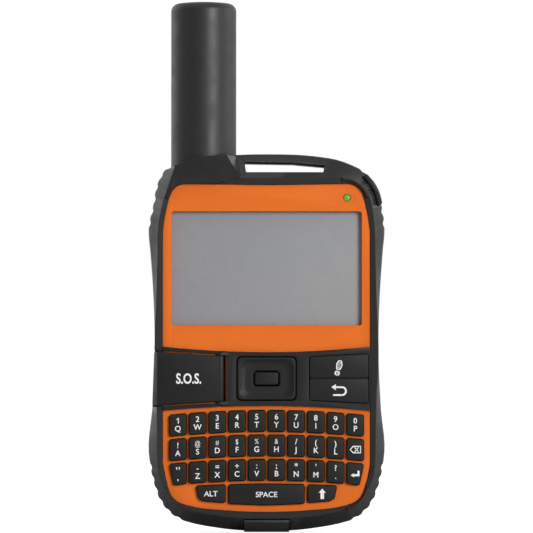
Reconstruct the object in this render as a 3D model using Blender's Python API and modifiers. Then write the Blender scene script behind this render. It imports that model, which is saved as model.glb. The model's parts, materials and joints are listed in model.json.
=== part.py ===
"""Satellite phone: a hand-held two-way text messenger with a stub antenna.

The phone stands upright, its face to -Y, its antenna to +Z.  The origin is the
middle of its footprint, level with the lowest edge.  Dimensions are given in
millimetres and turned into metres by point(), the only place that scales.
"""
import math

import bmesh
import bpy
from mathutils import Matrix, Vector

MM = 0.001
GAP = 0.3                     # clearance between neighbouring pieces

# Depths, from the face (negative) to the back (positive)
GUARD_FRONT = -11.95          # raised corner guards
SHOULDER_FRONT = -11.4        # block in front of the antenna's foot
WAIST = -5.2                  # where the bumper's side turns towards the rim
EASE = 0.35                   # how far the sides lean in at the waist
RIM_FRONT = -10.6             # flat rim of the bumper
FACE_FRONT = -10.0            # orange face
FACE_BACK = -8.2
SKIRT_BACK = -2.3
SEAL_FRONT = -2.0
SEAL_BACK = -1.2
TONGUE_FRONT = -0.9           # lip of the rear casing that presses on the seal
PARTING = 0.0                 # back edge of the bumper
CASING_FRONT = PARTING + GAP
CAVITY_BACK = 9.9
CASING_BACK = 11.95
PANEL_FRONT = -10.9
PANEL_BACK = FACE_FRONT - 0.2
KEY_FRONT = -11.4
KEY_BACK = -7.8
MAT_FRONT = -7.1
MAT_BACK = -6.1
BOARD_FRONT = -4.0
BOARD_BACK = -2.4

# Outlines in the XZ plane: the right half, from the middle of the bottom edge
# to the middle of the top edge, in stretches that match from ring to ring.
SAMPLES = (5, 1, 32, 10, 2, 24, 1, 7)   # points along each stretch
BOTTOM_CORNER = 2
TOP_CORNER = 5
SILHOUETTE = (
    ((0.0, 0.0), (14.7, 1.0), (25.6, 3.2)),
    ((25.6, 3.2), (25.9, 3.3)),
    ((25.9, 3.3), (30.4, 6.0), (33.3, 9.75), (35.0, 14.2), (36.6, 22.0)),
    ((36.6, 22.0), (36.9, 24.7), (35.8, 38.5), (35.05, 56.0), (35.5, 74.7), (36.4, 87.5)),
    ((36.4, 87.5), (36.95, 94.4)),
    ((36.95, 94.4), (35.9, 102.5), (34.3, 107.6), (32.1, 111.1), (28.8, 113.6)),
    ((28.8, 113.6), (28.5, 113.75)),
    ((28.5, 113.75), (22.5, 116.15), (15.7, 117.3), (0.0, 118.0)),
)
SILHOUETTE_LEFT = SILHOUETTE[:5] + (    # fuller beside the antenna
    ((36.95, 94.4), (35.5, 102.2), (33.8, 109.7), (31.6, 113.2), (28.8, 114.5)),
    ((28.8, 114.5), (28.5, 114.6)),
    ((28.5, 114.6), (22.5, 116.3), (15.7, 117.3), (0.0, 118.0)),
)
RIM = (
    ((0.0, 4.0), (14.7, 5.0), (24.7, 6.7)),
    ((24.7, 6.7), (25.0, 6.75)),
    ((25.0, 6.75), (28.0, 8.3), (30.0, 10.4), (31.6, 13.3), (33.8, 21.0)),
    ((33.8, 21.0), (33.8, 54.0), (33.8, 88.0)),
    ((33.8, 88.0), (33.8, 93.0)),
    (
        (33.8, 93.0), (33.0, 100.6), (32.1, 104.4), (30.7, 106.7), (28.9, 108.4), (26.5, 109.8),
        (23.7, 110.3),
    ),
    ((23.7, 110.3), (23.4, 110.3)),
    ((23.4, 110.3), (12.0, 110.0), (0.0, 109.9)),
)
RIM_LEFT = RIM[:5] + (        # beside the antenna the rim runs up to the shoulder's top
    ((33.8, 93.0), (33.3, 97.5), (31.75, 103.9), (28.35, 114.2)),
    ((28.35, 114.2), (28.05, 114.2)),
    ((28.05, 114.2), (18.0, 111.2), (0.0, 109.9)),
)
BACK = (
    ((0.0, 6.0), (12.0, 6.5), (21.8, 8.1)),
    ((21.8, 8.1), (22.0, 8.2)),
    ((22.0, 8.2), (26.4, 10.4), (28.8, 13.6), (30.4, 19.5)),
    ((30.4, 19.5), (30.8, 40.0), (30.3, 62.0), (30.8, 87.0)),
    ((30.8, 87.0), (31.0, 93.0)),
    ((31.0, 93.0), (30.2, 100.0), (28.6, 104.6), (25.4, 108.0)),
    ((25.4, 108.0), (25.1, 108.1)),
    ((25.1, 108.1), (18.0, 109.8), (0.0, 110.2)),
)
FACE = (
    ((0.0, 5.85), (12.5, 6.35), (24.7, 8.0)),
    ((24.7, 8.0), (25.0, 8.1)),
    ((25.0, 8.1), (27.6, 9.2), (29.5, 11.2), (30.5, 14.0), (32.2, 21.5)),
    ((32.2, 21.5), (32.2, 58.0), (32.2, 88.0)),
    ((32.2, 88.0), (32.2, 93.5)),
    (
        (32.2, 93.5), (31.2, 100.0), (30.4, 103.4), (29.6, 105.6), (28.0, 107.4), (25.9, 108.2),
        (23.7, 108.2),
    ),
    ((23.7, 108.2), (23.4, 108.2)),
    ((23.4, 108.2), (12.0, 108.05), (0.0, 107.9)),
)
FACE_SAMPLES = (3, 1, 7, 2, 1, 9, 1, 2)
RIDGES = {BOTTOM_CORNER: 6, TOP_CORNER: 6}   # grip ridges along each corner
RIDGE_DEPTH = 0.6
GUARDS = {BOTTOM_CORNER: (0.0, 0.55), TOP_CORNER: (0.52, 1.0)}   # raised share of each corner
GUARD_FADE = 0.04
SKIRT_WALL = 1.2
CAVITY_HALF_WIDTH = 30.2
CAVITY_BOTTOM = 8.6
CAVITY_TOP = 106.6

# Antenna
ANTENNA_X = -19.7
ANTENNA_Y = 0.8
ANTENNA_RADIUS = 10.2
ANTENNA_TOP = 165.7
ANTENNA_FOOT = 111.3
ANTENNA_WALL = 1.3
ANTENNA_ROUND = 2.5

# Face openings and controls
WINDOW = (59.3, 35.6)
WINDOW_Z = 82.0
CONTROL_Z = 47.75
SOS_AXIS = (-14.3, -10.4)     # hinge of the SOS cover, x and y
DPAD = (18.0, 13.1)
DPAD_AXIS_Y = -8.8
DPAD_FRONT = -11.6
DPAD_BACK = -9.0
DPAD_DISH = (15.9, 12.2)
SELECT = (7.3, 3.9)
SELECT_FRONT = -11.75
BUTTON_FRONT = -11.0
SOS_BUTTON = (-25.0, -10.0)   # x of its middle and depth of its face
LIGHT_AT = (25.05, 104.0)
USB_AXIS = (-11.0, 3.4)       # hinge of the port cover, y and z
FLAP = (7.0, -0.95)           # its half width and the depth of its free edge
SCREWS = ((-20.0, 104.2), (20.0, 104.2), (-25.8, 11.4), (25.8, 11.4))

# Back relief
RELIEF = 0.5
LABEL = (44.0, 34.0)
LABEL_Z = 40.0
GROOVES = 6
GROOVE = (34.0, 1.6)
GROOVE_Z = 76.0
GROOVE_PITCH = 3.4

# Keys
KEY_SIZE = (5.2, 6.55)
KEY_PITCH = 6.12
ROW_RADIUS = 300.0            # every key row droops along this arc
KEY_GAP = 0.2
KEY_CORNER = 0.35
KEY_ROWS = (
    (34.6, "q w e r t y u i o p"),
    (26.98, "a s d f g h j k l backspace"),
    (19.42, "comma z x c v b n m period enter"),
)

COLOURS = {                   # base colour, roughness, metallic
    "orange_plastic": ((0.80, 0.16, 0.025), 0.5, 0.0),
    "black_rubber": ((0.028, 0.027, 0.028), 0.7, 0.0),
    "black_plastic": ((0.022, 0.022, 0.022), 0.5, 0.0),
    "button_rubber": ((0.03, 0.03, 0.03), 0.6, 0.0),
    "clear_window": ((0.3, 0.32, 0.33), 0.1, 0.0),
    "display_glass": ((0.32, 0.34, 0.34), 0.3, 0.0),
    "circuit_board": ((0.02, 0.12, 0.05), 0.5, 0.0),
    "battery_wrap": ((0.10, 0.11, 0.13), 0.4, 0.0),
    "copper": ((0.72, 0.35, 0.2), 0.35, 1.0),
    "steel": ((0.5, 0.5, 0.5), 0.3, 1.0),
    "silicone": ((0.12, 0.12, 0.13), 0.7, 0.0),
    "green_light": ((0.2, 0.6, 0.12), 0.3, 0.0),
    "red_plastic": ((0.6, 0.03, 0.02), 0.45, 0.0),
}


def point(x, y, z):
    return Vector((x, y, z)) * MM


def clear_scene():
    for item in list(bpy.data.objects):
        bpy.data.objects.remove(item, do_unlink=True)


def new_collection(name):
    made = bpy.data.collections.new(name)
    bpy.context.scene.collection.children.link(made)
    return made


def make_materials():
    made = {}
    for name, (colour, roughness, metallic) in COLOURS.items():
        material = bpy.data.materials.new(name)
        material.use_nodes = True
        shader = material.node_tree.nodes["Principled BSDF"]
        shader.inputs["Base Color"].default_value = (*colour, 1.0)
        shader.inputs["Roughness"].default_value = roughness
        shader.inputs["Metallic"].default_value = metallic
        made[name] = material
    return made


def add_part(name, bm, material, origin=(0.0, 0.0, 0.0), smooth=True):
    """Turns a bmesh into a named piece whose origin is at the given place."""
    home = point(*origin)
    bmesh.ops.translate(bm, verts=bm.verts, vec=-home)
    bmesh.ops.recalc_face_normals(bm, faces=bm.faces)
    mesh = bpy.data.meshes.new(name)
    bm.to_mesh(mesh)
    bm.free()
    mesh.materials.append(MATERIALS[material])
    if smooth:
        mesh.shade_smooth()
        mesh.set_sharp_from_angle(angle=math.radians(35))
    made = bpy.data.objects.new(name, mesh)
    made.location = home
    PARTS.objects.link(made)
    return made


def add_cutter(name, bm):
    bmesh.ops.recalc_face_normals(bm, faces=bm.faces)
    mesh = bpy.data.meshes.new(name)
    bm.to_mesh(mesh)
    bm.free()
    made = bpy.data.objects.new(name, mesh)
    made.hide_render = True
    made.display_type = "WIRE"
    CUTTERS.objects.link(made)
    return made


def combine(target, tool, operation="DIFFERENCE"):
    modifier = target.modifiers.new(tool.name, "BOOLEAN")
    modifier.operation = operation
    modifier.solver = "EXACT"
    modifier.object = tool


# Outlines -----------------------------------------------------------------

def spline_span(before, start, end, after, count):
    """Points of a Catmull-Rom span, paced by chord length, end left out."""
    knots = [0.0]
    chain = [Vector(before), Vector(start), Vector(end), Vector(after)]
    for first, second in zip(chain, chain[1:]):
        knots.append(knots[-1] + max((second - first).length, 1e-6))
    points = []
    for step in range(count):
        t = knots[1] + (knots[2] - knots[1]) * step / count
        row = chain
        for level in (1, 2, 3):
            row = [
                row[i].lerp(row[i + 1], (t - knots[k]) / (knots[k + span] - knots[k]))
                for i, (k, span) in enumerate(blossom(level))
            ]
        points.append(row[0])
    return points


def blossom(level):
    """First knot and knot span of each blend in a level of the curve's pyramid."""
    if level == 1:
        return ((0, 1), (1, 1), (2, 1))
    if level == 2:
        return ((0, 2), (1, 2))
    return ((1, 1),)


def evenly(path, count):
    """The path's points respaced to count equal steps, its end left out."""
    lengths = [0.0]
    for first, second in zip(path, path[1:]):
        lengths.append(lengths[-1] + (second - first).length)
    points = []
    index = 0
    for step in range(count):
        target = lengths[-1] * step / count
        while lengths[index + 1] < target:
            index += 1
        share = (target - lengths[index]) / (lengths[index + 1] - lengths[index])
        points.append(path[index].lerp(path[index + 1], share))
    return points


def half_outline(stretches, samples):
    """Right half of an outline and, for each point, its stretch and share."""
    controls = [stretches[0][0]]
    for stretch in stretches:
        controls.extend(stretch[1:])
    before, after = controls[1], controls[-2]
    padded = [(-before[0], before[1])] + controls + [(-after[0], after[1])]
    points = []
    tags = []
    index = 1
    for number, (stretch, count) in enumerate(zip(stretches, samples)):
        dense = []
        for _ in stretch[1:]:
            dense.extend(spline_span(*padded[index - 1:index + 3], 8))
            index += 1
        dense.append(Vector(padded[index]))
        points.extend(evenly(dense, count))
        tags.extend((number, step / count) for step in range(count))
    points.append(Vector(controls[-1]))
    tags.append((len(stretches), 0.0))
    return points, tags


def whole(half, left_half=None):
    """A ring from its right half and, where it differs, its left half."""
    left = [Vector((-p.x, p.y)) for p in reversed((left_half or half)[1:-1])]
    return list(half) + left


def outline(stretches, samples):
    return whole(half_outline(stretches, samples)[0])


def case_outline(samples, inset=0.0, depth=0.0):
    """The case's outline, with grip ridges pressed into its corners."""
    halves = []
    for stretches in (SILHOUETTE, SILHOUETTE_LEFT):
        half, tags = half_outline(stretches, samples)
        normals = outward_normals(whole(half))
        moved = []
        for place, (number, share), normal in zip(half, tags, normals):
            waves = RIDGES.get(number, 0)
            groove = depth * (0.5 - 0.5 * math.cos(2 * math.pi * waves * share))
            moved.append(place - normal * (inset + groove))
        moved[0].x = 0.0
        moved[-1].x = 0.0
        halves.append(moved)
    return whole(*halves)


def outward_normals(ring):
    normals = []
    for i, here in enumerate(ring):
        along = ring[(i + 1) % len(ring)] - ring[i - 1]
        normals.append(Vector((along.y, -along.x)).normalized())
    return normals


def offset(ring, distance):
    return [p + n * distance for p, n in zip(ring, outward_normals(ring))]


def blend(first, second, share):
    return [a.lerp(b, share) for a, b in zip(first, second)]


def rounded(corners, radius, steps=3):
    """A polygon's outline with an arc at each corner."""
    arcs = []
    for i, corner in enumerate(corners):
        here = Vector(corner)
        before = (Vector(corners[i - 1]) - here).normalized()
        after = (Vector(corners[(i + 1) % len(corners)]) - here).normalized()
        half_angle = before.angle(after) / 2
        centre = here + (before + after).normalized() * (radius / math.sin(half_angle))
        run = radius / math.tan(half_angle)
        start = here + before * run - centre
        end = here + after * run - centre
        first = math.atan2(start.y, start.x)
        turn = math.remainder(math.atan2(end.y, end.x) - first, 2 * math.pi)
        for step in range(steps + 1):
            angle = first + turn * step / steps
            arcs.append(centre + radius * Vector((math.cos(angle), math.sin(angle))))
    return arcs


def box_corners(width, height, x=0.0, z=0.0):
    w = width / 2
    h = height / 2
    return ((x - w, z - h), (x + w, z - h), (x + w, z + h), (x - w, z + h))


def rounded_box(width, height, radius, x=0.0, z=0.0, steps=3):
    return rounded(box_corners(width, height, x, z), radius, steps)


# Solids -------------------------------------------------------------------

def prism(ring, front, back, chamfer=0.0, bm=None):
    """A flat outline made solid along Y, its front edge chamfered if asked."""
    bm = bm or bmesh.new()
    base = bm.faces.new([bm.verts.new(point(p[0], back, p[1])) for p in ring])
    grown = bmesh.ops.extrude_face_region(bm, geom=[base])["geom"]
    moved = [item for item in grown if isinstance(item, bmesh.types.BMVert)]
    top = [item for item in grown if isinstance(item, bmesh.types.BMFace)]
    bmesh.ops.translate(bm, verts=moved, vec=point(0.0, front - back, 0.0))
    if chamfer:
        edges = list(top[0].edges)
        bmesh.ops.bevel(bm, geom=edges, offset=chamfer * MM, segments=1, affect="EDGES")
    return bm


def frame(outer, inner, front, back):
    """A closed band between two outlines of equal point count."""
    bm = bmesh.new()
    outside = [bm.verts.new(point(p.x, back, p.y)) for p in outer]
    inside = [bm.verts.new(point(p.x, back, p.y)) for p in inner]
    count = len(outside)
    faces = []
    for i in range(count):
        j = (i + 1) % count
        faces.append(bm.faces.new((outside[i], outside[j], inside[j], inside[i])))
    grown = bmesh.ops.extrude_face_region(bm, geom=faces)["geom"]
    moved = [item for item in grown if isinstance(item, bmesh.types.BMVert)]
    bmesh.ops.translate(bm, verts=moved, vec=point(0.0, front - back, 0.0))
    return bm


def loft(rings):
    """A solid through outlines at given depths: (depth, ring) from the front."""
    bm = bmesh.new()
    layers = []
    for depth, ring in rings:
        layers.append([bm.verts.new(point(p.x, depth, p.y)) for p in ring])
    bm.faces.new(layers[0])
    bm.faces.new(list(reversed(layers[-1])))
    for near, far in zip(layers, layers[1:]):
        for i in range(len(near)):
            j = (i + 1) % len(near)
            bm.faces.new((near[i], far[i], far[j], near[j]))
    return bm


def cylinder(radius, start, end, bm=None, segments=16):
    """A cylinder between two places given in millimetres."""
    bm = bm or bmesh.new()
    axis = point(*end) - point(*start)
    turn = axis.to_track_quat("Z", "Y").to_matrix().to_4x4()
    middle = Matrix.Translation((point(*start) + point(*end)) / 2)
    bmesh.ops.create_cone(
        bm, cap_ends=True, segments=segments, radius1=radius * MM, radius2=radius * MM,
        depth=axis.length, matrix=middle @ turn,
    )
    return bm


def block(x_range, y_range, z_range, bm=None):
    bm = bm or bmesh.new()
    low = point(x_range[0], y_range[0], z_range[0])
    high = point(x_range[1], y_range[1], z_range[1])
    size = Matrix.Diagonal((*(high - low), 1.0))
    bmesh.ops.create_cube(bm, size=1.0, matrix=Matrix.Translation((low + high) / 2) @ size)
    return bm


def side_prism(profile, half_width):
    """A profile in the YZ plane made solid along X."""
    bm = bmesh.new()
    base = bm.faces.new([bm.verts.new(point(-half_width, y, z)) for y, z in profile])
    grown = bmesh.ops.extrude_face_region(bm, geom=[base])["geom"]
    moved = [item for item in grown if isinstance(item, bmesh.types.BMVert)]
    bmesh.ops.translate(bm, verts=moved, vec=point(2 * half_width, 0.0, 0.0))
    return bm


def hull_of(places):
    bm = bmesh.new()
    for place in places:
        bm.verts.new(point(*place))
    result = bmesh.ops.convex_hull(bm, input=bm.verts)
    unused = [item for item in result["geom_interior"] if isinstance(item, bmesh.types.BMVert)]
    bmesh.ops.delete(bm, geom=unused, context="VERTS")
    return bm


# Keys ---------------------------------------------------------------------

def droop(x):
    return x * x / (2 * ROW_RADIUS)


def key_outlines():
    """Name, corners and centre of every key."""
    width, height = KEY_SIZE
    keys = []
    for row, (row_z, names) in enumerate(KEY_ROWS):
        for column, name in enumerate(names.split()):
            x = (column - 4.5) * KEY_PITCH
            corners = [
                (cx, cz - droop(cx)) for cx, cz in box_corners(width, height, x, row_z)
            ]
            if row == 2 and column in (0, 9):
                corners = slanted_side(corners, column == 0)
            keys.append((name, corners, (x, row_z - droop(x))))
    alt = ((-21.0, 10.6), (-19.7, 9.8), (-12.85, 9.2), (-12.85, 14.8), (-21.8, 14.4))
    shift = tuple((-x, z) for x, z in reversed(alt))
    space = ((-11.7, 8.95), (0.0, 8.5), (11.7, 8.95), (11.7, 14.85), (0.0, 15.05), (-11.7, 14.85))
    keys.append(("alt", alt, (-17.0, 12.2)))
    keys.append(("space", space, (0.0, 11.8)))
    keys.append(("shift", shift, (17.0, 12.2)))
    return keys


def slanted_side(corners, left_side):
    """An outer key of the third row: its outer lower corner drawn in."""
    drawn = 1.4
    low_left, low_right, high_right, high_left = corners
    if left_side:
        low_left = (low_left[0] + drawn, low_left[1])
    else:
        low_right = (low_right[0] - drawn, low_right[1])
    return (low_left, low_right, high_right, high_left)


def build_keys():
    for name, corners, (x, z) in key_outlines():
        ring = rounded(corners, KEY_CORNER, steps=1)
        solid = prism(ring, KEY_FRONT, KEY_BACK, chamfer=0.2)
        add_part("key_" + name, solid, "black_plastic", (x, KEY_FRONT, z))


def key_hole_cutter():
    bm = bmesh.new()
    for _, corners, _ in key_outlines():
        ring = offset(rounded(corners, KEY_CORNER, steps=1), KEY_GAP)
        prism(ring, FACE_FRONT - 1, FACE_BACK + 1, bm=bm)
    return add_cutter("cut_key_holes", bm)


# Control band --------------------------------------------------------------

def band_top(x):
    return 56.15 + 1.75 * (x / 32.5) ** 2


def band_bottom(x):
    return 39.1 - 1.55 * (x / 32.5) ** 2


PANEL_EDGE = 32.25
FUNCTION_LEFT = 13.5
FUNCTION_RIGHT = 31.55
FUNCTION_SPLIT = 47.85


def function_window():
    """Corners of the opening that both function buttons share."""
    return (
        (FUNCTION_LEFT, 41.1), (FUNCTION_RIGHT, 40.2), (FUNCTION_RIGHT, 55.3), (FUNCTION_LEFT, 54.4),
    )


def build_control_panel():
    """Black band across the face, cut away for the SOS cover and the controls."""
    steps = 12
    across = [PANEL_EDGE * (2 * i / steps - 1) for i in range(steps + 1)]
    ring = [(x, band_bottom(x) + 0.2) for x in across]
    ring += [(x, band_top(x) - 0.2) for x in reversed(across)]
    panel = add_part("control_panel", prism(ring, PANEL_FRONT, PANEL_BACK), "black_plastic")
    openings = prism(sos_recess(), PANEL_FRONT - 1, PANEL_BACK + 1)
    window = offset(rounded(function_window(), 0.4, steps=1), GAP)
    prism(window, PANEL_FRONT - 1, PANEL_BACK + 1, bm=openings)
    dpad_hole = rounded_box(DPAD[0] + 0.8, DPAD[1] + 0.8, 1.4, 0.0, CONTROL_Z)
    prism(dpad_hole, PANEL_FRONT - 1, PANEL_BACK + 1, bm=openings)
    combine(panel, add_cutter("cut_panel_openings", openings))
    add_hinge_lugs(panel)


def sos_recess():
    """Corners of the gap in the band that the SOS cover fills."""
    return ((-36.0, 38.95), (-12.4, 40.3), (-12.4, 55.1), (-36.0, 56.55))


def add_hinge_lugs(panel):
    """Two lugs on the panel's left edge that hold the SOS cover's trunnions."""
    x, y = SOS_AXIS
    for side, low, high in (("low", 39.6, 40.5), ("high", 54.9, 55.8)):
        barrel = add_cutter("lug_barrel_" + side, cylinder(1.1, (x, y, low), (x, y, high)))
        arm = add_cutter("lug_arm_" + side, block((x, -11.7), (-11.2, PANEL_BACK - 0.05), (low, high)))
        combine(panel, barrel, "UNION")
        combine(panel, arm, "UNION")
    bore = cylinder(0.7, (x, y, 38.0), (x, y, 58.0), segments=12)
    combine(panel, add_cutter("cut_lug_bore", bore))


def build_sos_cover():
    """Spring cover over the SOS button; its flange wraps the left side."""
    x, y = SOS_AXIS
    origin = (x, y, CONTROL_Z)
    plate = rounded(((-34.4, 39.35), (x, 40.6), (x, 54.8), (-34.4, 56.15)), 0.5, steps=2)
    cover = add_part("sos_cover", prism(plate, -11.5, -10.35, chamfer=0.35), "black_rubber", origin)
    flange = hull_of([
        (side, depth, z)
        for depth, low, high in ((-11.1, 39.45, 56.05), (-4.0, 40.2, 55.3))
        for z, outer in ((low, -35.55), (high, -34.95))
        for side in (outer, -33.95)
    ])
    combine(cover, add_cutter("cover_flange", flange), "UNION")
    barrel = cylinder(1.1, (x, y, 40.8), (x, y, 54.6))
    combine(cover, add_cutter("cover_barrel", barrel), "UNION")
    pin = cylinder(0.42, (x, y, 39.6), (x, y, 55.85), segments=10)
    combine(cover, add_cutter("cover_trunnions", pin), "UNION")


def build_controls():
    z = CONTROL_Z
    ring = rounded_box(*DPAD, 1.1, 0.0, z)
    plate = prism(ring, DPAD_FRONT, DPAD_BACK, chamfer=0.25)
    dpad = add_part("dpad_ring", plate, "button_rubber", (0.0, DPAD_AXIS_Y, z))
    dish = prism(rounded_box(*DPAD_DISH, 2.1, 0.0, z), -13.0, DPAD_FRONT + 0.45)
    combine(dpad, add_cutter("cut_dpad_dish", dish))
    hole = prism(rounded_box(SELECT[0] + 0.8, SELECT[1] + 0.8, 0.7, 0.0, z), -13.0, -7.0)
    select_hole = add_cutter("cut_select_hole", hole)
    combine(dpad, select_hole)
    pivot = prism(rounded_box(14.0, 9.4, 1.0, 0.0, z), -8.3, -7.6)
    pivot_plate = add_part("dpad_pivot", pivot, "steel", (0.0, DPAD_AXIS_Y, z))
    combine(pivot_plate, select_hole)
    select = prism(rounded_box(*SELECT, 0.5, 0.0, z, steps=2), SELECT_FRONT, KEY_BACK, chamfer=0.3)
    add_part("select_button", select, "button_rubber", (0.0, SELECT_FRONT, z))

    low_left, low_right, high_right, high_left = function_window()
    split = FUNCTION_SPLIT
    upper = ((FUNCTION_LEFT, split + 0.17), (FUNCTION_RIGHT, split + 0.17), high_right, high_left)
    lower = (low_left, low_right, (FUNCTION_RIGHT, split - 0.17), (FUNCTION_LEFT, split - 0.17))
    middle = (FUNCTION_LEFT + FUNCTION_RIGHT) / 2
    for name, corners, centre in (("track_button", upper, 51.5), ("back_button", lower, 44.2)):
        solid = prism(rounded(corners, 0.4, steps=1), BUTTON_FRONT, KEY_BACK, chamfer=0.2)
        add_part(name, solid, "button_rubber", (middle, BUTTON_FRONT, centre))

    x, front = SOS_BUTTON
    sos = cylinder(4.2, (x, front, z), (x, KEY_BACK, z), segments=24)
    add_part("sos_button", sos, "red_plastic", (x, front, z))


POWER_ARC = ((36.0, 102.4), (35.2, 105.6), (33.7, 108.6), (31.5, 111.2))
POWER_NORMAL = (0.894, 0.0, 0.447)


def power_outline(proud, depth, margin):
    """The power button's XZ outline: a strip that follows the shoulder."""
    arc = [Vector(p) for p in POWER_ARC]
    start = (arc[0] - arc[1]).normalized() * margin
    end = (arc[-1] - arc[-2]).normalized() * margin
    path = [arc[0] + start] + arc[1:-1] + [arc[-1] + end]
    out = Vector((POWER_NORMAL[0], POWER_NORMAL[2]))
    return [p + out * proud for p in path] + [p - out * depth for p in reversed(path)]


def build_power_button():
    solid = prism(power_outline(0.1, 1.5, 0.0), -7.4, -1.0)
    add_part("power_button", solid, "button_rubber", (34.4, -4.2, 107.2))


# Case ----------------------------------------------------------------------

def face_outline(distance=0.0):
    return offset(outline(FACE, FACE_SAMPLES), distance)


def build_front_housing():
    housing = add_part("front_housing", prism(face_outline(), FACE_FRONT, SKIRT_BACK), "orange_plastic")
    inside = prism(face_outline(-SKIRT_WALL), FACE_BACK, SKIRT_BACK + 1)
    combine(housing, add_cutter("cut_front_cavity", inside))
    for number, (x, z) in enumerate(SCREWS):
        post = cylinder(2.2, (x, FACE_BACK - 0.5, z), (x, SKIRT_BACK, z))
        combine(housing, add_cutter("front_post_%d" % number, post), "UNION")
    holes = bmesh.new()
    through = (FACE_FRONT - 1, FACE_BACK + 1)
    for ring in (
        rounded_box(*WINDOW, 1.0, 0.0, WINDOW_Z),
        rounded_box(DPAD[0] + 0.8, DPAD[1] + 0.8, 1.4, 0.0, CONTROL_Z),
        offset(rounded(function_window(), 0.4, steps=1), GAP),
    ):
        prism(ring, *through, bm=holes)
    for radius, (x, z), segments in ((4.5, (SOS_BUTTON[0], CONTROL_Z), 24), (1.2, LIGHT_AT, 16)):
        cylinder(radius, (x, through[0], z), (x, through[1], z), holes, segments)
    block((-16.0, -12.7), through, (39.1, 56.3), holes)
    for x, z in SCREWS:
        cylinder(1.4, (x, FACE_BACK + 0.6, z), (x, SKIRT_BACK + 1, z), holes, 12)
    combine(housing, add_cutter("cut_face_openings", holes))
    combine(housing, key_hole_cutter())
    combine(housing, PORT_HOLE)


def guard_height(stretch, share):
    """How far a point of the rim belongs to a raised corner guard, 0 to 1."""
    if stretch not in GUARDS:
        return 0.0
    low, high = GUARDS[stretch]
    rise = 1.0 if low == 0.0 else (share - low) / GUARD_FADE
    fall = 1.0 if high == 1.0 else (high - share) / GUARD_FADE
    return max(0.0, min(1.0, rise, fall))


def rim_depths():
    """Depth of the rim at each point of its outline: raised at the guards."""
    _, tags = half_outline(RIM, SAMPLES)
    tags[tags.index((TOP_CORNER + 1, 0.0))] = (TOP_CORNER, 1.0)
    right = [RIM_FRONT + (GUARD_FRONT - RIM_FRONT) * guard_height(*tag) for tag in tags]
    left = list(right)
    for place, tag in enumerate(tags):
        if tag[0] >= TOP_CORNER:
            left[place] = RIM_FRONT + (SHOULDER_FRONT - RIM_FRONT) * guard_height(*tag)
    return right + list(reversed(left[1:-1]))


def tube(sections):
    """A closed band: (depths, ring) for each line along it, the last joined to the first."""
    bm = bmesh.new()
    lines = []
    for depths, ring in sections:
        if isinstance(depths, float):
            depths = [depths] * len(ring)
        lines.append([bm.verts.new(point(p.x, y, p.y)) for y, p in zip(depths, ring)])
    for near, far in zip(lines, lines[1:] + lines[:1]):
        for i in range(len(near)):
            j = (i + 1) % len(near)
            bm.faces.new((near[i], near[j], far[j], far[i]))
    return bm


def shoulder():
    """The faceted block in front of the antenna's foot, clear of the face."""
    front = ((-28.0, 114.1), (-23.6, 116.1), (-12.6, 117.6), (-8.3, 110.2), (-31.3, 104.4))
    back = (
        (-28.0, 114.1), (-24.0, 116.9), (-12.0, 118.4), (-7.2, 116.2), (-7.0, 109.6), (-31.3, 104.4),
    )
    places = [(x, SHOULDER_FRONT, z) for x, z in front] + [(x, -2.5, z) for x, z in back]
    return add_cutter("antenna_shoulder", hull_of(places))


def strap_slot_cutter():
    ring = rounded(
        ((-6.6, 111.5), (18.0, 111.7), (18.3, 114.9), (8.0, 115.9), (-7.2, 116.05)), 0.8, steps=2,
    )
    return add_cutter("cut_strap_slot", prism(ring, -14.0, 14.0))


def antenna_pocket_cutter():
    at = (ANTENNA_X, ANTENNA_Y)
    bm = cylinder(ANTENNA_RADIUS + GAP, (*at, ANTENNA_FOOT - GAP), (*at, 130.0), segments=32)
    return add_cutter("cut_antenna_pocket", bm)


def antenna_feed_cutter():
    at = (ANTENNA_X, ANTENNA_Y)
    return add_cutter("cut_antenna_feed", cylinder(2.8, (*at, 106.5), (*at, 112.0), segments=12))


def build_bumper():
    inner = offset(outline(FACE, SAMPLES), GAP)
    rim = whole(half_outline(RIM, SAMPLES)[0], half_outline(RIM_LEFT, SAMPLES)[0])
    sections = (
        (PARTING, case_outline(SAMPLES, 0.0, RIDGE_DEPTH)),
        (WAIST, case_outline(SAMPLES, EASE)),
        (rim_depths(), rim),
        (RIM_FRONT + 0.1, inner),
        (PARTING, inner),
    )
    bumper = add_part("bumper", tube(sections), "black_rubber")
    combine(bumper, shoulder(), "UNION")
    recess = add_cutter("cut_face_recess", prism(inner, RIM_FRONT - 2, PARTING + 1))
    combine(bumper, recess)
    combine(bumper, STRAP_SLOT)
    combine(bumper, ANTENNA_POCKET)
    combine(bumper, ANTENNA_FEED)
    cover_seat = block((-40.0, -31.0), (-14.0, -10.05), (38.9, 56.6))
    combine(bumper, add_cutter("cut_cover_seat", cover_seat))
    flange_seat = block((-40.0, -33.75), (-14.0, -3.6), (38.95, 56.55))
    combine(bumper, add_cutter("cut_flange_seat", flange_seat))
    power_seat = prism(power_outline(3.0, 2.5, 0.3), -7.7, -0.7)
    combine(bumper, add_cutter("cut_power_seat", power_seat))
    seat_profile = (
        (-14.0, 4.2), (-10.1, 4.2), (-5.4, 1.75), (-0.6, 1.75), (-0.6, -2.0), (-14.0, -2.0),
    )
    combine(bumper, add_cutter("cut_flap_seat", side_prism(seat_profile, FLAP[0] + GAP)))
    combine(bumper, add_cutter("cut_finger_scoops", finger_scoops()))
    combine(bumper, PORT_HOLE)


def finger_scoops():
    """Shallow recesses either side of the port cover, to get a nail under it."""
    bm = side_prism(((-14.0, 3.7), (-9.1, 3.7), (-4.4, -1.0), (-14.0, -1.0)), 10.4)
    for vertex in bm.verts:
        if vertex.co.z < 0.0:
            vertex.co.x *= 1.16
    return bm


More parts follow.
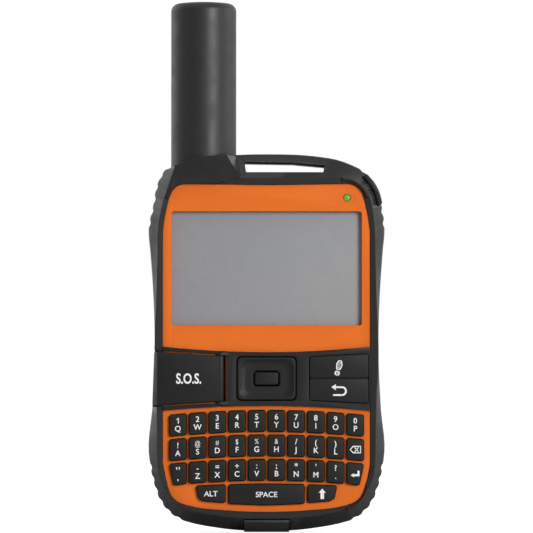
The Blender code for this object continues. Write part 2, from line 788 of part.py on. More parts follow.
def build_rear_casing():
    full = case_outline(SAMPLES, 0.0, RIDGE_DEPTH)
    shallow = case_outline(SAMPLES, EASE, RIDGE_DEPTH)
    plain = case_outline(SAMPLES)
    flat = outline(BACK, SAMPLES)
    solid = loft((
        (CASING_FRONT, full),
        (-WAIST, shallow),
        (8.6, blend(plain, flat, 0.38)),
        (11.0, blend(plain, flat, 0.82)),
        (CASING_BACK, flat),
    ))
    casing = add_part("rear_casing", solid, "black_rubber")
    edges = (face_outline(-0.15), face_outline(-SKIRT_WALL + 0.15))
    tongue = frame(*edges, TONGUE_FRONT, CASING_FRONT + 0.8)
    combine(casing, add_cutter("casing_tongue", tongue), "UNION")
    height = CAVITY_TOP - CAVITY_BOTTOM
    middle = (CAVITY_TOP + CAVITY_BOTTOM) / 2
    room = rounded_box(2 * CAVITY_HALF_WIDTH, height, 9.0, 0.0, middle, steps=4)
    combine(casing, add_cutter("cut_rear_cavity", prism(room, -1.0, CAVITY_BACK)))
    for number, (x, z) in enumerate(SCREWS):
        post = cylinder(3.4, (x, CASING_FRONT, z), (x, CAVITY_BACK + 0.5, z))
        combine(casing, add_cutter("rear_post_%d" % number, post), "UNION")
    bores = bmesh.new()
    heads = bmesh.new()
    for x, z in SCREWS:
        cylinder(1.7, (x, -1.0, z), (x, 11.0, z), bores, 12)
        cylinder(2.7, (x, 9.6, z), (x, 13.0, z), heads, 16)
    combine(casing, add_cutter("cut_screw_heads", heads))
    combine(casing, back_relief_cutter())
    combine(casing, add_cutter("cut_screw_bores", bores))
    combine(casing, STRAP_SLOT)
    combine(casing, ANTENNA_POCKET)
    combine(casing, ANTENNA_FEED)


def back_relief_cutter():
    """A shallow label recess and a row of finger grooves across the back."""
    bm = prism(rounded_box(*LABEL, 3.0, 0.0, LABEL_Z), CASING_BACK - RELIEF, CASING_BACK + 1)
    for groove in range(GROOVES):
        z = GROOVE_Z + groove * GROOVE_PITCH
        ring = rounded_box(GROOVE[0], GROOVE[1], GROOVE[1] * 0.45, 0.0, z)
        prism(ring, CASING_BACK - RELIEF, CASING_BACK + 1, bm=bm)
    return add_cutter("cut_back_relief", bm)


def build_screws():
    """Countersunk into the back: a head with a cross recess and a plain shank."""
    for number, (x, z) in enumerate(SCREWS):
        solid = cylinder(2.3, (x, 10.0, z), (x, 11.5, z))
        screw = add_part("case_screw_%d" % (number + 1), solid, "steel", (x, 10.0, z))
        shank = cylinder(1.1, (x, -4.5, z), (x, 10.2, z), segments=10)
        combine(screw, add_cutter("screw_shank_%d" % number, shank), "UNION")
        slots = block((x - 1.4, x + 1.4), (10.8, 12.0), (z - 0.3, z + 0.3))
        combine(screw, add_cutter("cut_screw_slot_%d" % number, slots))


def build_seal():
    solid = frame(face_outline(-0.1), face_outline(-SKIRT_WALL + 0.1), SEAL_FRONT, SEAL_BACK)
    add_part("casing_seal", solid, "silicone")


# Antenna -------------------------------------------------------------------

def quarter(radius, centre_r, centre_z, steps):
    """Points from the crown to the side of a rounded shoulder."""
    points = []
    for step in range(steps + 1):
        angle = math.radians(90 - 90 * step / steps)
        points.append((centre_r + radius * math.cos(angle), centre_z + radius * math.sin(angle)))
    return points


def build_antenna():
    dome = 0.5
    outer = [(0.0, ANTENNA_TOP), (4.0, ANTENNA_TOP - dome * 0.25)]
    edge = ANTENNA_TOP - dome - ANTENNA_ROUND
    outer += quarter(ANTENNA_ROUND, ANTENNA_RADIUS - ANTENNA_ROUND, edge, 4)
    bore = ANTENNA_RADIUS - ANTENNA_WALL
    roof = ANTENNA_TOP - dome - ANTENNA_WALL
    profile = outer + [(ANTENNA_RADIUS, ANTENNA_FOOT), (bore, ANTENNA_FOOT)]
    profile += [(bore, roof - 1.6), (bore - 1.6, roof), (0.0, roof)]
    mesh = bpy.data.meshes.new("antenna_radome")
    places = [point(r, 0.0, z) for r, z in profile]
    mesh.from_pydata(places, [(i, i + 1) for i in range(len(places) - 1)], [])
    mesh.materials.append(MATERIALS["black_rubber"])
    radome = bpy.data.objects.new("antenna_radome", mesh)
    radome.location = point(ANTENNA_X, ANTENNA_Y, 0.0)
    PARTS.objects.link(radome)
    turn = radome.modifiers.new("turn", "SCREW")
    turn.steps = 32
    turn.render_steps = 32
    turn.use_merge_vertices = True
    turn.merge_threshold = 0.00001
    turn.use_smooth_shade = True


def build_antenna_helix():
    """A former whose four copper ridges wind half a turn up its length."""
    base = 112.0
    top = 160.0
    layers = 10
    lobes = 4
    count = 16
    bm = bmesh.new()
    rings = []
    for layer in range(layers + 1):
        share = layer / layers
        ring = []
        for i in range(count):
            angle = 2 * math.pi * i / count
            radius = 6.6 + 0.7 * math.cos(lobes * angle)
            turned = angle + math.pi * share
            x = ANTENNA_X + radius * math.cos(turned)
            y = ANTENNA_Y + radius * math.sin(turned)
            ring.append(bm.verts.new(point(x, y, base + (top - base) * share)))
        rings.append(ring)
    for low, high in zip(rings, rings[1:]):
        for i in range(count):
            j = (i + 1) % count
            bm.faces.new((low[i], low[j], high[j], high[i]))
    bm.faces.new(list(reversed(rings[0])))
    bm.faces.new(rings[-1])
    helix = add_part("antenna_helix", bm, "copper")
    at = (ANTENNA_X, ANTENNA_Y)
    spigot = add_cutter("helix_spigot", cylinder(2.3, (*at, 109.2), (*at, 113.0), segments=12))
    combine(helix, spigot, "UNION")


# Inner parts ---------------------------------------------------------------

def build_display():
    width, height = WINDOW
    pane = prism(rounded_box(width + 0.7, height + 0.8, 1.5, 0.0, WINDOW_Z), -7.9, -6.9)
    add_part("display_window", pane, "clear_window")
    module = prism(rounded_box(width + 0.1, height + 0.3, 0.8, 0.0, WINDOW_Z, steps=1), -6.6, -4.4)
    add_part("display_module", module, "display_glass")


def board_ring(half_width, low, shelf, top):
    """Outline of the boards: narrower at the foot, clear of the screw posts."""
    foot = 21.0
    right = ((foot, low), (foot, shelf), (half_width, shelf), (half_width, top))
    return right + tuple((-x, z) for x, z in reversed(right))


def build_mat():
    add_part("keypad_mat", prism(board_ring(29.5, 9.3, 16.5, 57.8), MAT_FRONT, MAT_BACK), "silicone")


def build_board():
    sheet = prism(board_ring(29.2, 9.3, 16.5, 100.4), BOARD_FRONT, BOARD_BACK)
    board = add_part("main_board", sheet, "circuit_board")
    pieces = {
        "light_tab": ((22.9, 27.4), (BOARD_FRONT, BOARD_BACK), (100.0, 105.6)),
        "radio_can": ((-24.0, -2.0), (BOARD_BACK - 0.5, -0.6), (80.0, 98.0)),
        "position_patch": ((3.0, 18.0), (BOARD_BACK - 0.5, 1.8), (82.0, 97.0)),
        "buzzer": ((-19.0, -9.0), (BOARD_BACK - 0.5, 1.2), (12.0, 20.0)),
        "power_can": ((4.0, 19.0), (BOARD_BACK - 0.5, -0.8), (11.0, 20.0)),
    }
    for name, (xs, ys, zs) in pieces.items():
        combine(board, add_cutter("board_" + name, block(xs, ys, zs)), "UNION")


def build_battery():
    pack = prism(rounded_box(52.0, 54.0, 2.5, 0.0, 50.0), 0.2, 9.0, chamfer=0.8)
    add_part("battery_pack", pack, "battery_wrap")


def build_usb():
    socket = add_part("usb_socket", block((-3.9, 3.9), (-5.1, -2.1), (2.1, 8.2)), "steel")
    mouth = block((-3.2, 3.2), (-4.6, -2.6), (0.0, 6.6))
    combine(socket, add_cutter("cut_socket_mouth", mouth))
    y, z = USB_AXIS
    profile = (
        (y - 0.3, z - 0.1), (-5.7, 0.0), (FLAP[1], 0.0), (FLAP[1], 1.35), (-5.3, 1.35), (-9.8, z + 0.3),
        (y, z + 0.45),
    )
    cover = add_part("usb_cover", side_prism(profile, FLAP[0]), "black_rubber", (0.0, y, z))
    barrel = cylinder(0.5, (-6.8, y, z), (6.8, y, z), segments=12)
    combine(cover, add_cutter("flap_barrel", barrel), "UNION")


def build_status_light():
    x, z = LIGHT_AT
    add_part("status_light", cylinder(1.0, (x, -10.2, z), (x, -4.4, z)), "green_light", (x, -10.2, z))


clear_scene()
PARTS = new_collection("satellite_phone")
CUTTERS = new_collection("cutters")
MATERIALS = make_materials()
STRAP_SLOT = strap_slot_cutter()
ANTENNA_POCKET = antenna_pocket_cutter()
ANTENNA_FEED = antenna_feed_cutter()
PORT_HOLE = add_cutter("cut_port_hole", block((-4.3, 4.3), (-5.45, -1.75), (1.0, 8.0)))

build_front_housing()
build_bumper()
build_rear_casing()
build_seal()
build_screws()
build_control_panel()
build_sos_cover()
build_controls()
build_power_button()
build_keys()
build_display()
build_mat()
build_board()
build_battery()
build_usb()
build_status_light()
build_antenna()
build_antenna_helix()
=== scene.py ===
import json
import math

import bmesh
import bpy
from mathutils import Matrix, Vector

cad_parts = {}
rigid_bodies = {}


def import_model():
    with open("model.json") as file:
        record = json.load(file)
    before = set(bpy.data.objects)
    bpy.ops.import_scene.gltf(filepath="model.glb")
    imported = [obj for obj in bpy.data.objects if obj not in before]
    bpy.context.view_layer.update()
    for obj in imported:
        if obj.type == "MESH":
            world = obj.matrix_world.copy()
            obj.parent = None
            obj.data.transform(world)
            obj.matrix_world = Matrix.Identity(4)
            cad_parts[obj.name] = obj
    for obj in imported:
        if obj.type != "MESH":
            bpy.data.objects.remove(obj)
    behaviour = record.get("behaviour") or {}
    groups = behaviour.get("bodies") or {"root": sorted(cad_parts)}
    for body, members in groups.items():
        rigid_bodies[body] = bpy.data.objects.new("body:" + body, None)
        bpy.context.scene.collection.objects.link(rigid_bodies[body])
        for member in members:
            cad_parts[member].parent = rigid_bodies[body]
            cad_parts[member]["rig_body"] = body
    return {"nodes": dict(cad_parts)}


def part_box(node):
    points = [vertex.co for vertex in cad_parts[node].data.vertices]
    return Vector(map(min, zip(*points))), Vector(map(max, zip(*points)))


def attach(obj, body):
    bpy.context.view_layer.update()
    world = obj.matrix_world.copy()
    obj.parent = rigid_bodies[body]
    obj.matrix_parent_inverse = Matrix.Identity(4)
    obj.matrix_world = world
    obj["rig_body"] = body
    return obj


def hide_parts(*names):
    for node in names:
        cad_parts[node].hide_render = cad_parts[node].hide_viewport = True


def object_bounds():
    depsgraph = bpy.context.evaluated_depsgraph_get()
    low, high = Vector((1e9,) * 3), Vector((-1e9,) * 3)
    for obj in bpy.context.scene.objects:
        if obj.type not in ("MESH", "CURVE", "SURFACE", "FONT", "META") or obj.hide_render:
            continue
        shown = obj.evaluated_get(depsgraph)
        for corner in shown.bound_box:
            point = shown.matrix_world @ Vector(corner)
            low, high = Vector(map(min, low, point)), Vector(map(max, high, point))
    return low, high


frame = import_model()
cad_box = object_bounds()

# Lengths are in millimetres, unless a comment says metres; point() and MM turn
# them into the frame's metres.
MM = 0.001
MERGE = 1e-7                  # vertices closer than this, in metres, become one


def box_mm(node):
    """A CAD node's lowest and highest corners, in millimetres."""
    low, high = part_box(node)
    return low / MM, high / MM


def middle_mm(node):
    low, high = box_mm(node)
    return (low + high) / 2


# Depths, from the face (negative) to the back (positive), most of them from the frame
GUARD_FRONT = box_mm("bumper")[0].y          # raised corner guards
PARTING = box_mm("bumper")[1].y              # back edge of the bumper
FACE_FRONT = box_mm("front_housing")[0].y
CASING_BACK = box_mm("rear_casing")[1].y
GAP = 0.3                                    # between neighbouring pieces
RIM_FRONT = FACE_FRONT - 0.6                 # outer part of the rim, between its guards
REST_FRONT = FACE_FRONT - 0.55               # and the part of it beside the face
SHOULDER_FRONT = FACE_FRONT - 1.4            # block in front of the antenna's foot
WAIST = -5.2                                 # where the bumper's side turns towards the rim
EASE = 0.35                                  # how far the sides lean in at the waist
CASING_FRONT = PARTING + GAP
TONGUE_FRONT = PARTING - 0.8                 # lip of the rear casing inside the bumper
CAVITY_BACK = CASING_BACK - 2.05             # inside of the casing's back wall

# Where cutters begin and end, clear of the whole phone
AHEAD = -14.0
BEHIND = 14.0
ASIDE = 40.0

KEYS = [node for node in sorted(frame["nodes"]) if node.startswith("key_")]
SCREWS = [node for node in sorted(frame["nodes"]) if node.startswith("case_screw_")]

# Outlines in the XZ plane: the right half, from the middle of the bottom edge
# to the middle of the top edge, in stretches that match from ring to ring. A
# stretch starts where the one before it ends.
SAMPLES = (8, 2, 128, 24, 4, 96, 2, 12)      # points along each stretch
SPAN_STEPS = 16               # points along each span before they are respaced
BOTTOM_CORNER = 2             # number of the stretch
TOP_CORNER = 5
SILHOUETTE = (
    ((0.0, 0.0), (14.7, 1.0), (25.6, 3.2)),
    ((25.9, 3.3),),
    ((30.4, 6.0), (33.3, 9.75), (35.0, 14.2), (36.6, 22.0)),
    ((36.9, 24.7), (35.8, 38.5), (35.05, 56.0), (35.5, 74.7), (36.4, 87.5)),
    ((36.95, 94.4),),
    ((35.9, 102.5), (34.3, 107.6), (32.1, 111.1), (28.8, 113.6)),
    ((28.5, 113.75),),
    ((22.5, 116.15), (15.7, 117.3), (0.0, 118.0)),
)
SILHOUETTE_LEFT = SILHOUETTE[:5] + (    # fuller beside the antenna
    ((35.5, 102.2), (33.8, 109.7), (31.6, 113.2), (28.8, 114.5)),
    ((28.5, 114.6),),
    ((22.5, 116.3), (15.7, 117.3), (0.0, 118.0)),
)
RIM = (
    ((0.0, 4.0), (14.7, 5.0), (24.7, 6.7)),
    ((25.0, 6.75),),
    ((28.0, 8.3), (30.0, 10.4), (31.6, 13.3), (33.8, 21.0)),
    (
        (33.85, 23.0), (34.0, 33.0), (34.3, 43.0), (34.8, 51.0), (34.8, 60.0), (34.3, 72.0),
        (33.95, 84.0), (33.85, 88.0),
    ),
    ((33.8, 93.0),),
    ((33.0, 100.6), (32.1, 104.4), (30.7, 106.7), (28.9, 108.4), (26.5, 109.8), (23.7, 110.3)),
    ((23.4, 110.3),),
    ((12.0, 110.0), (0.0, 109.9)),
)
RIM_LEFT = RIM[:5] + (        # beside the antenna the rim runs up to the shoulder's top
    ((33.3, 97.5), (31.75, 103.9), (30.15, 108.75), (28.75, 113.0), (28.35, 114.2)),
    ((28.05, 114.2),),
    ((18.0, 111.2), (0.0, 109.9)),
)
BACK = (
    ((0.0, 6.0), (12.0, 6.5), (21.8, 8.1)),
    ((22.0, 8.2),),
    ((26.4, 10.4), (28.8, 13.6), (30.4, 19.5)),
    ((30.8, 40.0), (30.3, 62.0), (30.8, 87.0)),
    ((31.0, 93.0),),
    ((30.2, 100.0), (28.6, 104.6), (25.4, 108.0)),
    ((25.1, 108.1),),
    ((18.0, 109.8), (0.0, 110.2)),
)
FACE = (
    ((0.0, 5.85), (12.5, 6.35), (24.7, 8.0)),
    ((25.0, 8.1),),
    ((27.6, 9.2), (29.5, 11.2), (30.5, 14.0), (32.2, 21.5)),
    ((32.2, 23.0), (32.2, 58.0), (32.2, 88.0)),
    ((32.2, 93.5),),
    ((31.2, 100.0), (30.4, 103.4), (29.6, 105.6), (28.0, 107.4), (25.9, 108.2), (23.7, 108.2)),
    ((23.4, 108.2),),
    ((12.0, 108.05), (0.0, 107.9)),
)
RIDGES = {BOTTOM_CORNER: 6, TOP_CORNER: 6}   # grip ridges along each corner
RIDGE_DEPTH = 0.6
WAIST_RIDGES = 0.2            # their depth at the waist
GUARDS = {BOTTOM_CORNER: (0.0, 0.55), TOP_CORNER: (0.52, 1.0)}   # raised share of each corner
GUARD_FADE = 0.012            # share of a corner over which a guard rises or falls


def point(x, y, z):
    return Vector((x, y, z)) * MM


# Outlines -----------------------------------------------------------------

def spline_span(before, start, end, after, count):
    """Points of a Catmull-Rom span, paced by chord length, end left out."""
    knots = [0.0]
    chain = [Vector(before), Vector(start), Vector(end), Vector(after)]
    for first, second in zip(chain, chain[1:]):
        knots.append(knots[-1] + max((second - first).length, 1e-6))
    points = []
    for step in range(count):
        t = knots[1] + (knots[2] - knots[1]) * step / count
        row = chain
        for reach, firsts in ((1, (0, 1, 2)), (2, (0, 1)), (1, (1,))):   # knots that each blend runs over
            row = [
                low.lerp(high, (t - knots[k]) / (knots[k + reach] - knots[k]))
                for k, low, high in zip(firsts, row, row[1:])
            ]
        points.append(row[0])
    return points


def evenly(path, count):
    """The path's points respaced to count equal steps, its end left out."""
    lengths = [0.0]
    for first, second in zip(path, path[1:]):
        lengths.append(lengths[-1] + (second - first).length)
    points = []
    index = 0
    for step in range(count):
        target = lengths[-1] * step / count
        while lengths[index + 1] < target:
            index += 1
        share = (target - lengths[index]) / (lengths[index + 1] - lengths[index])
        points.append(path[index].lerp(path[index + 1], share))
    return points


def half_outline(stretches):
    """Right half of an outline and, for each point, its stretch and share."""
    controls = [control for stretch in stretches for control in stretch]
    start, end = controls[1], controls[-2]
    padded = [(-start[0], start[1])] + controls + [(-end[0], end[1])]
    points = []
    tags = []
    index = 1
    for number, (stretch, count) in enumerate(zip(stretches, SAMPLES)):
        dense = []
        for _ in range(len(stretch) - (number == 0)):
            dense.extend(spline_span(*padded[index - 1:index + 3], SPAN_STEPS))
            index += 1
        dense.append(Vector(padded[index]))
        points.extend(evenly(dense, count))
        tags.extend((number, step / count) for step in range(count))
    points.append(Vector(controls[-1]))
    tags.append((len(stretches), 0.0))
    return points, tags


def whole(half, left_half=None):
    """A ring from its right half and, where it differs, its left half."""
    left = [Vector((-p.x, p.y)) for p in reversed((left_half or half)[1:-1])]
    return list(half) + left


def outline(stretches):
    return whole(half_outline(stretches)[0])


def outward_normals(ring):
    normals = []
    for i, here in enumerate(ring):
        along = ring[(i + 1) % len(ring)] - ring[i - 1]
        normals.append(Vector((along.y, -along.x)).normalized())
    return normals


def offset(ring, distance):
    return [p + n * distance for p, n in zip(ring, outward_normals(ring))]


def case_outline(inset=0.0, depth=0.0):
    """The case's outline, with grip ridges pressed into its corners."""
    halves = []
    for stretches in (SILHOUETTE, SILHOUETTE_LEFT):
        half, tags = half_outline(stretches)
        normals = outward_normals(whole(half))
        moved = []
        for place, (number, share), normal in zip(half, tags, normals):
            waves = RIDGES.get(number, 0)
            groove = depth * (0.5 - 0.5 * math.cos(2 * math.pi * waves * share)) ** 2
            moved.append(place - normal * (inset + groove))
        moved[0].x = 0.0
        moved[-1].x = 0.0
        halves.append(moved)
    return whole(*halves)


def blend(first, second, share):
    return [a.lerp(b, share) for a, b in zip(first, second)]


def rounded(corners, radius):
    """A polygon's outline with an arc at each corner."""
    steps = 6
    arcs = []
    for i, corner in enumerate(corners):
        here = Vector(corner)
        before = (Vector(corners[i - 1]) - here).normalized()
        after = (Vector(corners[(i + 1) % len(corners)]) - here).normalized()
        half_angle = before.angle(after) / 2
        centre = here + (before + after).normalized() * (radius / math.sin(half_angle))
        run = radius / math.tan(half_angle)
        start = here + before * run - centre
        end = here + after * run - centre
        first = math.atan2(start.y, start.x)
        turn = math.remainder(math.atan2(end.y, end.x) - first, 2 * math.pi)
        for step in range(steps + 1):
            angle = first + turn * step / steps
            arcs.append(centre + radius * Vector((math.cos(angle), math.sin(angle))))
    return arcs


def rounded_box(width, height, radius, z):
    """A rounded rectangle on the phone's middle line, its centre at height z."""
    w = width / 2
    h = height / 2
    return rounded(((-w, z - h), (w, z - h), (w, z + h), (-w, z + h)), radius)


# Solids -------------------------------------------------------------------

def extruded(places, run, bm=None):
    """A flat face through the places made solid along run, added to bm where one is given."""
    bm = bm or bmesh.new()
    base = bm.faces.new([bm.verts.new(place) for place in places])
    grown = bmesh.ops.extrude_face_region(bm, geom=[base])["geom"]
    moved = [item for item in grown if isinstance(item, bmesh.types.BMVert)]
    bmesh.ops.translate(bm, verts=moved, vec=run)
    return bm


def prism(ring, front, back, bm=None):
    """A flat outline made solid along Y."""
    return extruded([point(p[0], back, p[1]) for p in ring], point(0.0, front - back, 0.0), bm)


def side_prism(profile, half_width):
    """A profile in the YZ plane made solid along X."""
    return extruded([point(-half_width, y, z) for y, z in profile], point(2 * half_width, 0.0, 0.0))


def add_ring(bm, ring, depth):
    """One line of vertices round a band; depth is one value or one for each point."""
    depths = [depth] * len(ring) if isinstance(depth, float) else depth
    return [bm.verts.new(point(p.x, y, p.y)) for y, p in zip(depths, ring)]


def bridge(bm, near, far):
    for i in range(len(near)):
        j = (i + 1) % len(near)
        bm.faces.new((near[i], near[j], far[j], far[i]))


def tube(sections):
    """A closed band through (depth, ring) lines, the last joined to the first."""
    bm = bmesh.new()
    lines = [add_ring(bm, ring, depth) for depth, ring in sections]
    for near, far in zip(lines, lines[1:] + lines[:1]):
        bridge(bm, near, far)
    return bm


def loft(sections):
    """A solid through (depth, ring) lines, closed by a face at each end."""
    bm = bmesh.new()
    lines = [add_ring(bm, ring, depth) for depth, ring in sections]
    for near, far in zip(lines, lines[1:]):
        bridge(bm, near, far)
    bm.faces.new(lines[0])
    bm.faces.new(list(reversed(lines[-1])))
    return bm


def softened(bends, closed=True):
    """Lines for a tube or loft from (depth, ring, reach), every bend made a curve.

    The reach says how far from the line, in millimetres, its curve begins.
    """
    steps = 4
    longest = 0.45            # share of a run that its curve may take
    sections = [bend[:2] for bend in bends]
    reaches = [bend[2] for bend in bends]
    count = len(sections)
    depths = [[d] * len(ring) if isinstance(d, float) else d for d, ring in sections]
    rings = [ring for _, ring in sections]
    made = []
    for k, reach in enumerate(reaches):
        if not closed and k in (0, count - 1):
            made.append(sections[k])
            continue
        before, after = (k - 1) % count, (k + 1) % count
        for step in range(steps + 1):
            t = step / steps
            new_depths = []
            new_ring = []
            for i in range(len(rings[k])):
                here = Vector((rings[k][i].x, depths[k][i], rings[k][i].y))
                ends = []
                for side in (before, after):
                    there = Vector((rings[side][i].x, depths[side][i], rings[side][i].y))
                    run = there - here
                    ends.append(here + run * min(longest, reach / max(run.length, 1e-6)))
                place = ends[0].lerp(here, t).lerp(here.lerp(ends[1], t), t)
                new_depths.append(place.y)
                new_ring.append(Vector((place.x, place.z)))
            made.append((new_depths, new_ring))
    return made


def cylinder(radius, start, end, segments=32):
    bm = bmesh.new()
    axis = point(*end) - point(*start)
    turn = axis.to_track_quat("Z", "Y").to_matrix().to_4x4()
    middle = Matrix.Translation((point(*start) + point(*end)) / 2)
    bmesh.ops.create_cone(
        bm, cap_ends=True, segments=segments, radius1=radius * MM, radius2=radius * MM,
        depth=axis.length, matrix=middle @ turn,
    )
    return bm


def block(x_range, y_range, z_range):
    bm = bmesh.new()
    low = point(x_range[0], y_range[0], z_range[0])
    high = point(x_range[1], y_range[1], z_range[1])
    size = Matrix.Diagonal((*(high - low), 1.0))
    bmesh.ops.create_cube(bm, size=1.0, matrix=Matrix.Translation((low + high) / 2) @ size)
    return bm


def hull_of(places):
    bm = bmesh.new()
    for place in places:
        bm.verts.new(point(*place))
    result = bmesh.ops.convex_hull(bm, input=bm.verts)
    unused = [item for item in result["geom_interior"] if isinstance(item, bmesh.types.BMVert)]
    bmesh.ops.delete(bm, geom=unused, context="VERTS")
    return bm


def turned(profile, x, y, z=0.0, segments=128, about_y=False):
    """A (radius, height) profile spun about an upright axis, or about one along Y."""
    bm = bmesh.new()
    rings = []
    for radius, height in profile:
        ring = []
        for i in range(segments):
            angle = 2 * math.pi * i / segments
            across, along = radius * math.cos(angle), radius * math.sin(angle)
            if about_y:
                ring.append(bm.verts.new(point(x + across, y + height, z + along)))
            else:
                ring.append(bm.verts.new(point(x + across, y + along, z + height)))
        rings.append(ring)
    for low, high in zip(rings, rings[1:]):
        bridge(bm, low, high)
    bmesh.ops.remove_doubles(bm, verts=bm.verts, dist=MERGE)
    return bm


# Pieces -------------------------------------------------------------------

SHARP_ANGLE = 40              # shading breaks where faces meet at more degrees than this
CUT = "DIFFERENCE"
JOIN = "UNION"


def placed(name, data):
    """A new object in the scene."""
    made = bpy.data.objects.new(name, data)
    bpy.context.scene.collection.objects.link(made)
    return made


def mesh_from(bm, name):
    """The mesh of a bmesh, which is freed."""
    mesh = bpy.data.meshes.new(name)
    bm.to_mesh(mesh)
    bm.free()
    return mesh


def temporary(bm):
    """An object that only lives while a piece is being cut."""
    bmesh.ops.recalc_face_normals(bm, faces=bm.faces)
    return placed("temporary", mesh_from(bm, "temporary"))


def shaped(bm, steps=(), bevel=0.0, segments=2, angle=40):
    """The mesh after Boolean steps, each (operation, bmesh), and a soft bevel on its sharp edges."""
    target = temporary(bm)
    tools = []
    for operation, tool_mesh in steps:
        tool = temporary(tool_mesh)
        tools.append(tool)
        modifier = target.modifiers.new("boolean", "BOOLEAN")
        modifier.operation = operation
        modifier.solver = "EXACT"
        modifier.object = tool
    if bevel:
        modifier = target.modifiers.new("bevel", "BEVEL")
        modifier.width = bevel * MM
        modifier.segments = segments
        modifier.limit_method = "ANGLE"
        modifier.angle_limit = math.radians(angle)
        modifier.use_clamp_overlap = True
    settled = bpy.data.meshes.new_from_object(
        target.evaluated_get(bpy.context.evaluated_depsgraph_get()), depsgraph=None,
    )
    for item in [target] + tools:
        bpy.data.objects.remove(item, do_unlink=True)
    result = bmesh.new()
    result.from_mesh(settled)
    bpy.data.meshes.remove(settled)
    return result


def copy_of(node):
    """A CAD piece's own surface with its triangles joined into clean faces."""
    bm = bmesh.new()
    bm.from_mesh(frame["nodes"][node].data)
    bmesh.ops.remove_doubles(bm, verts=bm.verts, dist=MERGE)
    bmesh.ops.dissolve_limit(bm, angle_limit=math.radians(0.5), verts=bm.verts, edges=bm.edges)
    return bm


def add_piece(name, bm, look, body, stands_for=()):
    """Turns a bmesh into a finished piece that rides on a body."""
    bmesh.ops.recalc_face_normals(bm, faces=bm.faces)
    mesh = mesh_from(bm, name)
    mesh.materials.append(LOOKS[look])
    mesh.shade_smooth()
    mesh.set_sharp_from_angle(angle=math.radians(SHARP_ANGLE))
    made = placed(name, mesh)
    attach(made, body)
    if stands_for:
        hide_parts(*stands_for)


def body_holding(node):
    return frame["nodes"][node]["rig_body"]


def add_finish(node, bm, look):
    """Adds the piece that is shown in place of a CAD node."""
    add_piece(node + "_finish", bm, look, body_holding(node), (node,))


def refine(node, look, bevel, angle=30):
    """Shows a CAD node with the same shape and softly rounded edges."""
    add_finish(node, shaped(copy_of(node), bevel=bevel, segments=3, angle=angle), look)


# Case ---------------------------------------------------------------------

LIP = 0.2                     # chamfer where the bumper meets the face
LIP_GAP = 0.04                # from the face's outline to the lip beside it
LIP_UNDERSIDE = FACE_FRONT - 0.06
LAP = 0.55                    # how far the bumper laps over the face's bottom edge
LAP_FADE = 12.0               # height over which that lap fades out
SHOULDER_BACK = -2.5
SHOULDER_FACET = (            # front outline of the antenna's shoulder, as x and z
    (-28.0, 114.1), (-23.6, 116.1), (-12.6, 117.6), (-8.3, 110.2), (-31.3, 104.4),
)
SHOULDER_ROOT = (             # and its back outline
    (-28.0, 114.1), (-24.0, 116.9), (-12.0, 118.4), (-7.2, 116.2), (-7.0, 109.6), (-31.3, 104.4),
)
SLOT_DROP = 0.45              # the slot's ceiling is this much lower behind the parting
POWER_ARC = ((36.0, 102.4), (35.2, 105.6), (33.7, 108.6), (31.5, 111.2))
POWER_OUT = (0.894, 0.447)    # the way the power button faces, as x and z
POWER_SEAT = (-7.7, -0.7)     # front and back of its recess
COVER_SEAT = (-31.0, -10.05)  # x and depth of the step for the emergency cover in the rim
COVER_SIDE_SEAT = (-33.75, -3.6)             # and in the case's side
COVER_GAP = 0.45              # above and below that cover
PORT_HOLE = ((-4.3, 4.3), (-5.45, -1.75), (1.0, 8.0))
ROOM = (60.4, 98.0, 9.0)      # width, height and corner radius of the rear casing's inside
ROOM_Z = 57.6
RELIEF = 0.5                  # depth of the label recess and the grooves on the back
LABEL = (44.0, 34.0, 3.0)
LABEL_Z = 40.0
GROOVES = 6
GROOVE = (34.0, 1.6, 0.72)
GROOVE_Z = 76.0               # of the lowest groove
GROOVE_PITCH = 3.4
POST_RADIUS = 3.4             # screw posts inside the rear casing
BORE_RADIUS = 1.7
HEAD_RADIUS = 2.7
HEAD_FRONT = 9.6              # floor of each screw head's recess


def eased(share):
    share = max(0.0, min(1.0, share))
    return share * share * (3 - 2 * share)


def guard_height(stretch, share, lead=0.0):
    """How far a point of the rim belongs to a raised part, 0 to 1; lead starts the rise early."""
    if stretch not in GUARDS:
        return 0.0
    low, high = GUARDS[stretch]
    rise = 1.0 if low == 0.0 else (share - low + lead) / (GUARD_FADE + lead)
    fall = 1.0 if high == 1.0 else (high - share) / GUARD_FADE
    return eased(min(rise, fall))


def along_rim(rest, guard, shoulder, lead=0.0):
    """A depth for each point of the rim: plain, on a raised guard, or on the shoulder."""
    _, tags = half_outline(RIM)
    tags[tags.index((TOP_CORNER + 1, 0.0))] = (TOP_CORNER, 1.0)
    right = [rest + (guard - rest) * guard_height(*tag) for tag in tags]
    left = list(right)
    for place, tag in enumerate(tags):
        if tag[0] >= TOP_CORNER:
            left[place] = rest + (shoulder - rest) * guard_height(*tag, lead)
    return right + list(reversed(left[1:-1]))


def lapped(ring):
    """The face's outline with its bottom edge covered by the bumper's lip."""
    low = min(p.y for p in ring)
    return [p + Vector((0.0, LAP * (1 - eased((p.y - low) / LAP_FADE)))) for p in ring]


def shoulder(clear_of):
    """The faceted block in front of the antenna's foot, cut away over the face."""
    places = [(x, SHOULDER_FRONT - 0.02, z) for x, z in SHOULDER_FACET]
    places += [(x, SHOULDER_BACK, z) for x, z in SHOULDER_ROOT]
    return shaped(hull_of(places), ((CUT, prism(clear_of, AHEAD, PARTING + 1)),))


def strap_slot(drop=0.0):
    """A cutter for the slot through the loop above the face; drop lowers its ceiling."""
    corners = (
        (-6.4, 112.0), (17.7, 112.0), (18.1, 114.4 - drop), (8.0, 115.3 - drop), (-6.9, 115.55 - drop),
    )
    return prism(rounded(corners, 0.3), AHEAD, BEHIND)


